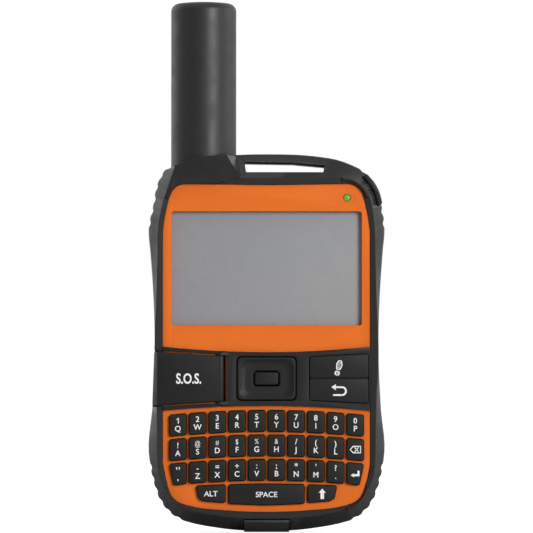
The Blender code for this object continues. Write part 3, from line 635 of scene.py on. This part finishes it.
def antenna_place():
    """Axis of the antenna and its radius, foot and top."""
    low, high = box_mm("antenna_radome")
    middle = (low + high) / 2
    return middle.x, middle.y, (high.x - low.x) / 2, low.z, high.z


def antenna_pocket():
    """A cutter for the hole that the antenna's foot stands in."""
    x, y, radius, foot, _ = antenna_place()
    return cylinder(radius + GAP, (x, y, foot - GAP), (x, y, foot + 20.0), segments=96)


def power_outline(proud, depth, margin):
    """A strip in the XZ plane that follows the shoulder, for the power button."""
    steps = 6
    line = [Vector(p) for p in POWER_ARC]
    chain = [line[0] * 2 - line[1]] + line + [line[-1] * 2 - line[-2]]
    path = []
    for i in range(len(line) - 1):
        path.extend(spline_span(*chain[i:i + 4], steps))
    path.append(line[-1])
    path[0] = path[0] + (path[0] - path[1]).normalized() * margin
    path[-1] = path[-1] + (path[-1] - path[-2]).normalized() * margin
    out = Vector(POWER_OUT)
    return [p + out * proud for p in path] + [p - out * depth for p in reversed(path)]


def flap_seat():
    """A cutter for the recess that the port cover closes."""
    low, high = box_mm("usb_cover")
    top = high.z + 0.35
    ledge, rear, below = 1.75, -0.6, -2.0
    profile = ((AHEAD, top), (-10.1, top), (-5.4, ledge), (rear, ledge), (rear, below), (AHEAD, below))
    return side_prism(profile, high.x + GAP)


def finger_scoops():
    """A cutter for a shallow recess either side of the port cover, with ends that slope out."""
    floor = ((10.5, -8.6, 3.5), (11.5, -3.2, 0.0))
    mouth = ((15.6, -12.5, 3.7), (17.2, -12.5, -3.0))
    return hull_of([(side * x, y, z) for x, y, z in floor + mouth for side in (-1, 1)])


def build_bumper():
    rim = whole(half_outline(RIM)[0], half_outline(RIM_LEFT)[0])
    face = outline(FACE)
    lap = offset(lapped(face), LIP_GAP)
    lip = offset(lap, LIP)
    inner = offset(face, GAP)
    bends = (
        (PARTING, case_outline(depth=RIDGE_DEPTH), 0.3),
        (WAIST, case_outline(EASE, WAIST_RIDGES), 0.5),
        (along_rim(RIM_FRONT, RIM_FRONT, SHOULDER_FRONT, 0.3), rim, 0.25),
        (along_rim(RIM_FRONT - 0.03, GUARD_FRONT + 0.35, SHOULDER_FRONT), blend(rim, lip, 0.08), 0.08),
        (along_rim(RIM_FRONT, GUARD_FRONT, SHOULDER_FRONT), blend(rim, lip, 0.38), 0.08),
        (along_rim(REST_FRONT, REST_FRONT, SHOULDER_FRONT), blend(rim, lip, 0.8), 0.15),
        (along_rim(REST_FRONT, REST_FRONT, SHOULDER_FRONT), lip, 0.08),
        (along_rim(REST_FRONT + 0.15, REST_FRONT + 0.15, SHOULDER_FRONT + 0.35), lap, 0.05),
        (LIP_UNDERSIDE, lap, 0.05),
        (LIP_UNDERSIDE, inner, 0.05),
        (PARTING, inner, 0.1),
    )
    cover_low, cover_high = box_mm("sos_cover")
    seat_z = (cover_low.z - COVER_GAP, cover_high.z + COVER_GAP)
    bm = shaped(tube(softened(bends)), (
        (JOIN, shoulder(offset(lip, 0.02))),
        (CUT, strap_slot()),
        (CUT, antenna_pocket()),
        (CUT, block((-ASIDE, COVER_SEAT[0]), (AHEAD, COVER_SEAT[1]), seat_z)),
        (CUT, block((-ASIDE, COVER_SIDE_SEAT[0]), (AHEAD, COVER_SIDE_SEAT[1]), seat_z)),
        (CUT, prism(power_outline(proud=3.0, depth=2.5, margin=GAP), *POWER_SEAT)),
        (CUT, finger_scoops()),
        (CUT, flap_seat()),
        (CUT, block(*PORT_HOLE)),
    ), bevel=0.1, angle=55)
    add_finish("bumper", bm, "bumper")


def build_rear_casing():
    ridged = case_outline(depth=RIDGE_DEPTH)
    plain = case_outline()
    flat = outline(BACK)
    tongue = offset(outline(FACE), -0.3)
    bends = (
        (TONGUE_FRONT, offset(tongue, -0.3), 0.0),
        (TONGUE_FRONT, tongue, 0.05),
        (PARTING + 0.02, tongue, 0.05),
        (PARTING + 0.02, offset(plain, -1.3), 0.05),
        (CASING_FRONT, offset(plain, -1.2), 0.05),
        (CASING_FRONT, ridged, 0.3),
        (-WAIST, case_outline(EASE, RIDGE_DEPTH), 1.6),
        (8.6, blend(plain, flat, 0.38), 1.4),
        (11.0, blend(plain, flat, 0.82), 0.9),
        (CASING_BACK, flat, 0.5),
        (CASING_BACK, offset(flat, -1.5), 0.0),
    )
    relief = CASING_BACK - RELIEF
    steps = [
        (CUT, prism(rounded_box(*ROOM, ROOM_Z), PARTING - 1, CAVITY_BACK)),
        (CUT, prism(rounded_box(*LABEL, LABEL_Z), relief, CASING_BACK + 1)),
        (CUT, strap_slot(SLOT_DROP)),
        (CUT, antenna_pocket()),
    ]
    for groove in range(GROOVES):
        ring = rounded_box(*GROOVE, GROOVE_Z + groove * GROOVE_PITCH)
        steps.append((CUT, prism(ring, relief, CASING_BACK + 1)))
    for screw in SCREWS:
        x, _, z = middle_mm(screw)
        for operation, radius, front, back in (
            (JOIN, POST_RADIUS, CASING_FRONT, CAVITY_BACK + 0.5),
            (CUT, HEAD_RADIUS, HEAD_FRONT, CASING_BACK + 1.05),
            (CUT, BORE_RADIUS, PARTING - 1, HEAD_FRONT + 1.4),
        ):
            steps.append((operation, cylinder(radius, (x, front, z), (x, back, z))))
    bm = shaped(loft(softened(bends, closed=False)), steps, bevel=0.2, angle=50)
    add_finish("rear_casing", bm, "bumper")


def build_antenna():
    """A tall cap, hollow and open below, its crown slightly domed."""
    x, y, radius, foot, top = antenna_place()
    dome = 0.5                # how much higher the crown is at its middle
    round_over = 2.5
    wall = 1.3
    corner = 1.6              # slope between the inside's wall and roof
    chamfer = 0.2
    dome_steps, round_steps = 6, 12
    crown = [(0.0, top)]
    for step in range(1, dome_steps + 1):
        share = step / dome_steps
        crown.append((share * (radius - round_over), top - dome * share * share))
    for step in range(1, round_steps + 1):
        angle = math.radians(90 - 90 * step / round_steps)
        crown.append((
            radius - round_over + round_over * math.cos(angle),
            top - dome - round_over + round_over * math.sin(angle),
        ))
    roof = top - dome - wall
    bore = radius - wall
    foot_edge = [(radius, foot + chamfer), (radius - chamfer, foot)]
    inside = [(bore, foot), (bore, roof - corner), (bore - corner, roof), (0.0, roof)]
    bm = turned(crown + foot_edge + inside, x, y)
    add_piece("antenna_cover_finish", bm, "antenna", "case", ("antenna_radome",))


# Controls -----------------------------------------------------------------

def build_dpad():
    """Four-way ring: a fine raised rim round a shallow dish."""
    low, high = box_mm("dpad_ring")
    button_low, button_high = box_mm("select_button")
    width = high.x - low.x
    height = high.z - low.z
    z = (high.z + low.z) / 2
    front, back = low.y, high.y
    play = 0.8                # by which the hole is wider and taller than the button in it
    hole = (button_high.x - button_low.x + play, button_high.z - button_low.z + play)

    def ring(inset, radius):
        return rounded_box(width - 2 * inset, height - 2 * inset, radius, z)

    mouth = rounded_box(*hole, 0.5, z)
    floor = front + 0.8
    bends = (
        (back, ring(0.0, 1.3), 0.1),
        (front + 0.15, ring(0.0, 1.3), 0.1),
        (front, ring(0.2, 1.2), 0.08),
        (front, ring(0.5, 2.6), 0.08),
        (front + 0.15, ring(0.75, 2.8), 0.15),
        (floor - 0.1, ring(1.7, 2.4), 0.4),
        (floor, ring(2.7, 1.6), 0.3),
        (floor, offset(mouth, 0.25), 0.08),
        (floor + 0.15, mouth, 0.08),
        (back, mouth, 0.1),
    )
    add_finish("dpad_ring", tube(softened(bends)), "button")


def build_sos_cover():
    """The hinged guard, its free edge cut back to follow the case's side."""
    low, high = box_mm("sos_cover")
    corner = ((low.x + 2.3, low.y - 1.5), (low.x - 1.2, low.y + 6.0), (low.x - 3.0, low.y - 1.5))
    cut = hull_of([(x, y, z) for x, y in corner for z in (low.z - 1.0, high.z + 1.0)])
    bm = shaped(copy_of("sos_cover"), ((CUT, cut),), bevel=0.18, segments=3, angle=25)
    add_finish("sos_cover", bm, "cover")


def round_size(node):
    """Radius, front and back of a round piece that faces forward."""
    low, high = box_mm(node)
    return (high.x - low.x) / 2, low.y, high.y


def add_round_finish(node, profile, look, segments):
    centre = middle_mm(node)
    add_finish(node, turned(profile, centre.x, 0.0, centre.z, segments, about_y=True), look)


def build_sos_button():
    """A round button with a rounded rim and a slightly dished face."""
    radius, front, back = round_size("sos_button")
    profile = (
        (0.0, back), (radius, back), (radius, front + 0.5), (radius - 0.15, front + 0.2),
        (radius - 0.5, front), (radius - 1.1, front + 0.12), (0.0, front + 0.35),
    )
    add_round_finish("sos_button", profile, "red_button", 64)


def build_status_light():
    """A light pipe with a low dome in front."""
    radius, front, back = round_size("status_light")
    dome = 0.35
    steps = 6
    profile = [(0.0, back), (radius, back), (radius, front + dome)]
    for step in range(1, steps + 1):
        angle = math.radians(90 * step / steps)
        profile.append((radius * math.cos(angle), front + dome * (1 - math.sin(angle))))
    add_round_finish("status_light", profile, "green_light", 40)


def build_power_button():
    """A strip that follows the shoulder's curve."""
    low, high = box_mm("power_button")
    bm = shaped(prism(power_outline(proud=0.1, depth=1.5, margin=0.0), low.y, high.y), bevel=0.15, angle=50)
    add_finish("power_button", bm, "button")


def build_function_buttons():
    """Two broad buttons that fill their window but for hairline gaps."""
    wider, taller = 0.2, 0.26
    for node in ("track_button", "back_button"):
        low, high = box_mm(node)
        size = high - low
        grown = ((size.x + wider) / size.x, 1.0, (size.z + taller) / size.z)
        middle = point(*((low + high) / 2))
        bm = copy_of(node)
        bmesh.ops.scale(bm, verts=bm.verts, vec=grown, space=Matrix.Translation(-middle))
        add_finish(node, shaped(bm, bevel=0.06, angle=30), "panel")


def build_plain_pieces():
    refine("front_housing", "orange", 0.12, angle=50)
    refine("control_panel", "panel", 0.12, angle=50)
    # the port cover's lighter rubber is painted light, for a face turned down and away from the lamps
    refine("usb_cover", "flap", 0.25, angle=35)
    refine("select_button", "button", 0.15, angle=25)
    refine("display_window", "window", 0.1)
    for node in SCREWS:
        refine(node, "steel", 0.08)
    for node in KEYS:
        refine(node, "key", 0.08, angle=25)


# Legends ------------------------------------------------------------------

INK = 0.02                    # how far a printed mark stands off its surface
UPPER_MARKS = dict(zip("qwertyuiopasdfghjklzxcvbnm", "1234567890!@#$%&/()-=+:;*'"))
KEY_MARKS = [("key_" + letter, UPPER_MARKS[letter], letter.upper()) for letter in sorted(UPPER_MARKS)]
KEY_MARKS += [("key_comma", '"', ","), ("key_period", "?", ".")]
MARK_HEIGHT = 1.68
MARK_BOLD = 0.035
MARK_SQUEEZE = 0.95
FINE_MARKS = "@#$%&"          # printed smaller, narrower and without extra weight
FINE_SHARE = 0.92
FINE_SQUEEZE = 0.8
WORD_HEIGHT = 1.6
WORD_SQUEEZE = 1.02
UPPER_RISE = 1.34             # of the upper mark's middle above the key's
LOWER_DROP = 1.13


def text_mesh(words, height, bold, squeeze=1.0):
    """Flat letters of a cap height in millimetres, upright in XZ and facing -Y."""
    sample = letters_of("H", 1.0, 0.0)
    tall = max(v.co.y for v in sample.verts) - min(v.co.y for v in sample.verts)
    sample.free()
    size = height / (tall / MM)
    bm = letters_of(words, size, bold)
    bmesh.ops.scale(bm, verts=bm.verts, vec=(squeeze, 1.0, 1.0))
    bmesh.ops.translate(bm, verts=bm.verts, vec=(0.0, -height * MM / 2, 0.0))
    bmesh.ops.rotate(bm, verts=bm.verts, matrix=Matrix.Rotation(math.pi / 2, 3, "X"))
    return bm


def letters_of(words, size, bold):
    curve = bpy.data.curves.new("letters", "FONT")
    curve.body = words
    curve.size = size * MM
    curve.offset = bold * MM
    curve.extrude = INK * MM
    curve.resolution_u = 4
    curve.align_x = "CENTER"
    holder = placed("letters", curve)
    evaluated = holder.evaluated_get(bpy.context.evaluated_depsgraph_get())
    mesh = bpy.data.meshes.new_from_object(evaluated, depsgraph=None)
    bm = bmesh.new()
    bm.from_mesh(mesh)
    bpy.data.meshes.remove(mesh)
    bpy.data.objects.remove(holder, do_unlink=True)
    bpy.data.curves.remove(curve)
    bmesh.ops.remove_doubles(bm, verts=bm.verts, dist=MERGE)
    return bm


def stroke(path, width):
    """Outline of a line drawn along a path with a flat pen."""
    path = [Vector(p) for p in path]
    sides = []
    for i, here in enumerate(path):
        before = (here - path[i - 1]).normalized() if i else (path[1] - here).normalized()
        after = (path[i + 1] - here).normalized() if i + 1 < len(path) else before
        along = (before + after).normalized()
        stretch = 1 / max(0.35, along.dot(before))
        sides.append((here, Vector((along.y, -along.x)) * stretch * width / 2))
    return [p + s for p, s in sides] + [p - s for p, s in reversed(sides)]


def arc(centre, radius, start, end):
    """Points of an arc between two angles in degrees."""
    steps = 10
    places = []
    for step in range(steps + 1):
        angle = math.radians(start + (end - start) * step / steps)
        places.append((centre[0] + radius * math.cos(angle), centre[1] + radius * math.sin(angle)))
    return places


def print_mark(bm, rings, surface, x, z):
    """Adds flat shapes to a printed legend; surface is the depth they lie on."""
    for ring in rings:
        moved = [Vector(p) + Vector((x, z)) for p in ring]
        prism(moved, surface - INK, surface + INK, bm=bm)


def merge_into(bm, other, x, surface, z):
    """Joins one bmesh's letters into another, moved to their place."""
    bmesh.ops.translate(other, verts=other.verts, vec=point(x, surface, z))
    mesh = mesh_from(other, "letters")
    bm.from_mesh(mesh)
    bpy.data.meshes.remove(mesh)


def front_middle(node):
    """The middle of a piece's front: x, depth and z."""
    low, high = box_mm(node)
    return (low.x + high.x) / 2, low.y, (low.z + high.z) / 2


def add_legend(node, bm):
    add_piece("legend_" + node, bm, "print", body_holding(node))


def add_symbol(node, rings, rise=0.0):
    """A legend of flat shapes about the middle of a piece's front."""
    x, surface, z = front_middle(node)
    bm = bmesh.new()
    print_mark(bm, rings, surface, x, z + rise)
    add_legend(node, bm)


def add_lettering(node, marks, across=0.0):
    """A legend of letters, each mark a mesh and how far it is above the middle."""
    x, surface, z = front_middle(node)
    bm = bmesh.new()
    for mark, rise in marks:
        merge_into(bm, mark, x + across, surface, z + rise)
    add_legend(node, bm)


def key_mark(mark):
    """One printed letter, figure or sign, centred on the middle of its height."""
    if mark == "1":
        shape = (
            (0.0, -0.5), (0.19, -0.5), (0.19, 0.5), (0.04, 0.5), (-0.25, 0.28), (-0.25, 0.1), (0.0, 0.27),
        )
        return prism([Vector(p) * MARK_HEIGHT for p in shape], -INK, INK)
    if mark == '"':
        tick = ((0.17, -0.02), (0.3, -0.02), (0.38, 0.45), (0.14, 0.45))
        bm = prism([Vector(p) * MARK_HEIGHT for p in tick], -INK, INK)
        return prism([Vector((-p[0], p[1])) * MARK_HEIGHT for p in reversed(tick)], -INK, INK, bm=bm)
    if mark in FINE_MARKS:
        return text_mesh(mark, MARK_HEIGHT * FINE_SHARE, 0.0, FINE_SQUEEZE)
    return text_mesh(mark, MARK_HEIGHT, MARK_BOLD, MARK_SQUEEZE)


def build_key_legends():
    for node, upper, lower in KEY_MARKS:
        add_lettering(node, ((key_mark(upper), UPPER_RISE), (key_mark(lower), -LOWER_DROP)))
    for node, words in (("key_alt", "ALT"), ("key_space", "SPACE")):
        add_lettering(node, ((text_mesh(words, WORD_HEIGHT, MARK_BOLD, WORD_SQUEEZE), 0.0),))


def build_key_symbols():
    """Arrows on the shift and enter keys, and a crossed tab on the backspace key."""
    arrow = ((-0.55, -1.6), (0.55, -1.6), (0.55, 0.3), (1.1, 0.3), (0.0, 1.6), (-1.1, 0.3), (-0.55, 0.3))
    add_symbol("key_shift", [arrow])

    bend = ((-0.4, -0.72), (1.35, -0.72), (1.35, 1.0), (0.7, 1.0), (0.7, -0.05), (-0.4, -0.05))
    tip = ((-1.4, -0.38), (-0.4, -1.05), (-0.4, 0.28))
    add_symbol("key_enter", [bend, tip])

    pen = 0.3
    tab = ((-1.75, 0.0), (-0.75, -1.15), (1.75, -1.15), (1.75, 1.15), (-0.75, 1.15))
    tab = [Vector(p) for p in tab]
    inner = offset(tab, -pen * 1.2)
    strokes = []
    for i in range(len(tab)):
        j = (i + 1) % len(tab)
        strokes.append((tab[i], tab[j], inner[j], inner[i]))
    for slope in (-1, 1):
        strokes.append(stroke(((-0.2, -0.65 * slope), (1.0, 0.65 * slope)), pen))
    add_symbol("key_backspace", strokes)


def build_button_symbols():
    """A boot print on the tracking button and a return arrow on the back button."""
    x, surface, z = front_middle("track_button")
    bm = bmesh.new()
    sole = ((-0.65, -0.75), (0.75, -0.65), (1.05, 1.1), (0.45, 2.35), (-0.55, 2.3), (-1.0, 1.0))
    heel = ((-0.75, -2.5), (0.7, -2.5), (0.9, -1.05), (-0.85, -1.05))
    pen = 0.32
    for corners, radius, rows in ((sole, 0.4, (-0.1, 0.45, 1.0, 1.5)), (heel, 0.6, (-1.75,))):
        ring = rounded(corners, radius)
        outside = prism(ring, surface - INK, surface + INK)
        inside = prism(offset(ring, -pen), surface - 1, surface + 1)
        merge_into(bm, shaped(outside, ((CUT, inside),)), 0.0, 0.0, 0.0)
        for row in rows:
            tread = stroke(((-0.5, row - 0.08), (0.0, row + 0.12), (0.5, row - 0.08)), 0.2)
            print_mark(bm, [tread], surface, 0.0, 0.0)
    bmesh.ops.rotate(bm, verts=bm.verts, matrix=Matrix.Rotation(math.radians(14), 3, "Y"))
    bmesh.ops.translate(bm, verts=bm.verts, vec=point(x - 0.15, 0.0, z - 0.5))
    add_legend("track_button", bm)

    pen = 0.55
    radius = 1.35 / 1.1
    path = [(-1.1, radius)] + arc((0.9, 0.0), radius, 90, -90) + [(-1.9, -radius)]
    tip = ((-2.4, radius), (-1.0, radius + 0.95), (-1.0, radius - 0.95))
    add_symbol("back_button", [stroke(path, pen), tip], rise=-0.1)


def build_sos_legend():
    words = text_mesh("S.O.S.", height=3.0, bold=0.11, squeeze=0.75)
    add_lettering("sos_cover", ((words, 0.0),), across=0.2)


# Materials ----------------------------------------------------------------

class Nodes:
    """A node tree, with short calls for the nodes that every look uses.

    A socket is named with _ for a space, and takes a value or another node's output.
    """

    SPREAD = (0.3, 0.7)       # where nearly all of a noise's values lie
    EDGE_POINTINESS = (0.52, 0.62)       # pointiness where the edge mask begins and where it is full; it pales worn edges, and on the bumper paints a highlight

    def __init__(self, owner, shader="Principled BSDF"):
        owner.use_nodes = True
        self.owner = owner
        self.tree = owner.node_tree
        self.shader = self.tree.nodes[shader]
        self.coordinates = self.add("TexCoord").outputs

    def fill(self, node, **sockets):
        for name, value in sockets.items():
            socket = node.inputs[name.replace("_", " ")]
            if isinstance(value, bpy.types.NodeSocket):
                self.tree.links.new(value, socket)
            else:
                socket.default_value = value

    def add(self, kind, **sockets):
        node = self.tree.nodes.new("ShaderNode" + kind)
        self.fill(node, **sockets)
        return node

    def noise(self, size, detail=3.0, roughness=0.5, stretch=(1.0, 1.0, 1.0)):
        """Noise whose blotches are about size millimetres across."""
        scale = [s / (size * MM) for s in stretch]
        mapping = self.add("Mapping", Vector=self.coordinates["Object"], Scale=scale)
        node = self.add(
            "TexNoise", Vector=mapping.outputs["Vector"], Scale=1.0, Detail=detail, Roughness=roughness,
        )
        return node.outputs["Fac"]

    def ranged(self, value, low, high, to_low=0.0, to_high=1.0):
        node = self.add("MapRange", Value=value, From_Min=low, From_Max=high, To_Min=to_low, To_Max=to_high)
        return node.outputs["Result"]

    def patches(self, size, detail=3.0, spread=SPREAD, to_low=0.0, to_high=1.0):
        """Noise spread over a range."""
        return self.ranged(self.noise(size, detail), *spread, to_low, to_high)

    def part_of(self, share, amount):
        return self.ranged(share, 0.0, 1.0, 0.0, amount)

    def mixed(self, share, first, second):
        """Blends two colours, each a plain colour or another node's output."""
        node = self.add("Mix")
        node.data_type = "RGBA"
        self.fill(node, Factor=share)
        for socket, colour in ((node.inputs[6], first), (node.inputs[7], second)):
            if isinstance(colour, tuple):
                socket.default_value = (*colour, 1.0)
            else:
                self.tree.links.new(colour, socket)
        return node.outputs[2]

    def math(self, operation, first, second):
        node = self.add("Math")
        node.operation = operation
        self.tree.links.new(first, node.inputs[0])
        self.tree.links.new(second, node.inputs[1])
        return node.outputs["Value"]

    def edges(self):
        """1 along convex outer edges, 0 elsewhere; it pales worn edges, and on the bumper paints a
        highlight along the crests.
        """
        return self.ranged(self.add("NewGeometry").outputs["Pointiness"], *self.EDGE_POINTINESS)

    def bump(self, height, depth):
        """A relief depth millimetres deep."""
        return self.add("Bump", Height=height, Distance=depth * MM, Strength=1.0).outputs["Normal"]

    def result(self, **sockets):
        """Sets the shader's sockets and returns what the tree belongs to."""
        self.fill(self.shader, **sockets)
        return self.owner


def new_look(name):
    return Nodes(bpy.data.materials.new(name))


def grey(level):
    return (level, level, level)


def scaled(colour, factor):
    return tuple(min(1.0, channel * factor) for channel in colour)


FINE_SPREAD = (0.35, 0.65)    # narrower, so patches have a crisper edge


def moulded(name, colour, roughness, specular, grain, relief, mottle=0.12, wear_and_highlight=0.08, polish=0.0):
    """Moulded plastic or rubber: fine grain, faint blotches, edges worn paler and smoother; on the bumper
    the paler edges are a painted highlight along its crests.
    """
    n = new_look(name)
    body = n.mixed(n.patches(14.0), scaled(colour, 1 - mottle), scaled(colour, 1 + mottle))
    speckle = n.patches(grain, 2.0, FINE_SPREAD)
    body = n.mixed(n.part_of(speckle, 0.25), body, scaled(colour, 1 + 3 * mottle))
    # paler edges: worn on most looks; the bumper's large value paints a highlight along its guard crests
    body = n.mixed(n.part_of(n.edges(), wear_and_highlight), body, scaled(colour, 2.2))
    rough = n.patches(5.0, 4.0, to_low=roughness - 0.06, to_high=roughness + 0.06)
    return n.result(
        Base_Color=body,
        Roughness=n.math("SUBTRACT", rough, n.part_of(n.edges(), polish)),
        Normal=n.bump(speckle, relief),
        Specular_IOR_Level=specular,
    )


def make_window():
    """Reflective display seen through its pane: a grey field, faintly clouded."""
    n = new_look("window")
    low, high = box_mm("display_window")
    across = n.add("SeparateXYZ", Vector=n.coordinates["Object"]).outputs["X"]
    field = n.ranged(across, low.x * MM, high.x * MM)
    tint = n.mixed(field, (0.305, 0.305, 0.320), (0.305, 0.308, 0.312))
    cloud = n.part_of(n.patches(18.0, 2.0, FINE_SPREAD), 0.3)
    return n.result(
        Base_Color=n.mixed(cloud, tint, (0.275, 0.290, 0.335)),
        Roughness=n.patches(8.0, to_low=0.24, to_high=0.32),
        Normal=n.bump(n.noise(0.4, 1.0), 0.001),
        Specular_IOR_Level=0.3,
    )


def metal(name, colour, roughness, stretch=(1.0, 1.0, 1.0)):
    """Bare metal with fine machining lines and slight staining."""
    n = new_look(name)
    lines = n.noise(0.5, 3.0, 0.6, stretch)
    return n.result(
        Base_Color=n.mixed(n.patches(6.0), scaled(colour, 0.8), colour),
        Roughness=n.ranged(lines, *n.SPREAD, roughness - 0.08, roughness + 0.1),
        Normal=n.bump(lines, 0.004),
        Metallic=1.0,
    )


def make_circuit_board():
    """Green solder mask with paler tracks running under it."""
    n = new_look("circuit_board")
    tracks = n.add(
        "TexBrick", Vector=n.coordinates["Object"], Scale=1 / (6 * MM), Mortar_Size=0.03,
    ).outputs["Fac"]
    mask = n.mixed(n.patches(9.0), (0.012, 0.09, 0.035), (0.02, 0.13, 0.05))
    return n.result(
        Base_Color=n.mixed(tracks, mask, (0.05, 0.22, 0.09)),
        Normal=n.bump(tracks, 0.02),
        Roughness=0.4,
    )


def make_green_light():
    """A lit diffuser, unevenly bright."""
    n = new_look("green_light")
    glow = n.patches(0.8, 2.0)
    return n.result(
        Base_Color=n.mixed(glow, (0.07, 0.34, 0.03), (0.13, 0.42, 0.05)),
        Emission_Color=n.mixed(glow, (0.10, 0.40, 0.03), (0.18, 0.48, 0.05)),
        Emission_Strength=0.25,
        Roughness=0.25,
    )


def make_print():
    """White ink, very slightly uneven."""
    n = new_look("print")
    uneven = n.patches(0.6)
    return n.result(
        Base_Color=n.mixed(uneven, grey(0.80), grey(0.92)),
        Normal=n.bump(uneven, 0.003),
        Roughness=0.6,
        Specular_IOR_Level=0.3,
    )


def make_looks():
    """Every look; a moulded one is colour, roughness, specular level, grain and relief."""
    return {
        "orange": moulded("orange_plastic", (0.76, 0.148, 0.019), 0.5, 0.1, 0.45, 0.005, 0.04, 0.1),
        # the bumper's edges go half way to 2.2 times its colour: a painted highlight along the guard
        # crests; polish only makes them smoother
        "bumper": moulded("bumper_rubber", grey(0.014), 0.45, 0.32, 0.5, 0.010, wear_and_highlight=0.5, polish=0.2),
        "panel": moulded("panel_plastic", (0.017, 0.017, 0.0175), 0.45, 0.2, 0.4, 0.004),
        "cover": moulded("cover_rubber", grey(0.0095), 0.5, 0.3, 0.4, 0.006),
        # port flap: more than twice the bumper's colour, painted light for its downward-facing front
        "flap": moulded("flap_rubber_painted_light", (0.032, 0.032, 0.033), 0.5, 0.3, 0.4, 0.006),
        "key": moulded("key_plastic", (0.017, 0.017, 0.0165), 0.42, 0.2, 0.35, 0.003),
        "button": moulded("button_rubber", grey(0.0135), 0.45, 0.25, 0.4, 0.004),
        "antenna": moulded("antenna_plastic", (0.021, 0.0203, 0.0213), 0.46, 0.4, 0.5, 0.003, 0.05),
        "red_button": moulded("red_plastic", (0.55, 0.02, 0.015), 0.4, 0.4, 0.4, 0.004),
        "silicone": moulded("silicone", (0.03, 0.03, 0.033), 0.7, 0.25, 0.6, 0.006),
        "battery": moulded("battery_wrap", (0.09, 0.10, 0.12), 0.35, 0.4, 0.8, 0.004),
        "display": moulded("display_glass", (0.30, 0.32, 0.33), 0.2, 0.5, 0.3, 0.002, 0.04, 0.0),
        "steel": metal("steel", (0.55, 0.55, 0.56), 0.3),
        "copper": metal("copper", (0.72, 0.35, 0.2), 0.35, (1.0, 1.0, 6.0)),
        "window": make_window(),
        "circuit_board": make_circuit_board(),
        "green_light": make_green_light(),
        "print": make_print(),
    }


def dress_cad_nodes():
    """Every CAD piece that stays takes a finished material."""
    looks = {
        "casing_seal": "silicone", "keypad_mat": "silicone", "battery_pack": "battery",
        "display_module": "display", "main_board": "circuit_board", "antenna_helix": "copper",
        "dpad_pivot": "steel", "usb_socket": "steel",
    }
    for node, look in looks.items():
        slots = frame["nodes"][node].data.materials
        slots.clear()
        slots.append(LOOKS[look])


# Setting ------------------------------------------------------------------

VIEW_WIDTH = 166.3            # width of the view where the phone stands
VIEW_CENTRE = (-0.02, -5.0, 82.7)            # what the camera looks at
EYE_HEIGHT = 48.0
EYE_DISTANCE = 1500.0
SENSOR = 36.0                 # width of the camera's sensor
LIGHTS = (                    # place and size in metres, power in watts
    ("key", (0.70, -1.10, 0.42), (0.45, 0.6), 13.2),
    ("overhead", (-0.15, -0.55, 1.35), (0.8, 0.5), 1.3),
    ("side", (1.20, 0.15, 0.35), (0.9, 0.9), 3.6),
    ("edge", (-0.95, 0.60, 0.30), (0.8, 1.2), 2.7),
)


def aim(made, target):
    made.rotation_euler = (target - made.location).to_track_quat("-Z", "Y").to_euler()


def make_camera():
    data = bpy.data.cameras.new("camera")
    camera = placed("camera", data)
    target = point(*VIEW_CENTRE)
    camera.location = point(VIEW_CENTRE[0], -EYE_DISTANCE, EYE_HEIGHT)
    aim(camera, target)
    data.sensor_width = SENSOR
    data.lens = SENSOR * (target - camera.location).length / (VIEW_WIDTH * MM)
    data.clip_start = 0.05
    data.clip_end = 50.0
    bpy.context.scene.camera = camera


def make_lights():
    """Soft rectangular lights aimed at the middle of the phone."""
    for name, place, size, power in LIGHTS:
        data = bpy.data.lights.new(name, "AREA")
        data.shape = "RECTANGLE"
        data.size, data.size_y = size
        data.energy = power
        light = placed(name, data)
        light.location = place
        aim(light, point(0.0, 0.0, VIEW_CENTRE[2]))


def make_world():
    """A pale studio: white as the backdrop, and as a light dimmer in front of the phone."""
    world = bpy.data.worlds.new("studio")
    bpy.context.scene.world = world
    n = Nodes(world, "Background")
    split = n.add("SeparateXYZ", Vector=n.coordinates["Generated"]).outputs
    back = n.ranged(split["Y"], -1.0, 0.8, 0.08)
    above = n.ranged(split["Z"], -0.4, 0.1, 0.3)
    seen = n.add("LightPath").outputs["Is Camera Ray"]
    light = n.math("MULTIPLY", back, above)
    n.result(Color=(*grey(1.0), 1.0), Strength=n.math("MAXIMUM", seen, light))


def make_floor():
    """A pale floor just below the phone, as bright as the backdrop where it is seen."""
    bm = bmesh.new()
    bmesh.ops.create_grid(bm, x_segments=1, y_segments=1, size=6.0)
    mesh = mesh_from(bm, "floor")
    floor = placed("floor", mesh)
    floor.location.z = cad_box[0].z - 0.0002
    n = new_look("floor")
    seen = n.add("LightPath").outputs["Is Camera Ray"]
    mesh.materials.append(n.result(
        Base_Color=n.mixed(n.patches(400.0), grey(0.50), grey(0.54)),
        Emission_Color=(*grey(1.0), 1.0),
        Emission_Strength=n.part_of(seen, 0.8),
        Roughness=0.9,
        Specular_IOR_Level=0.1,
    ))


LOOKS = make_looks()
dress_cad_nodes()
build_bumper()
build_rear_casing()
build_antenna()
build_dpad()
build_sos_cover()
build_sos_button()
build_status_light()
build_power_button()
build_function_buttons()
build_plain_pieces()
build_key_legends()
build_key_symbols()
build_button_symbols()
build_sos_legend()

make_floor()
make_world()
make_lights()
make_camera()
bpy.context.scene.view_settings.view_transform = "Standard"
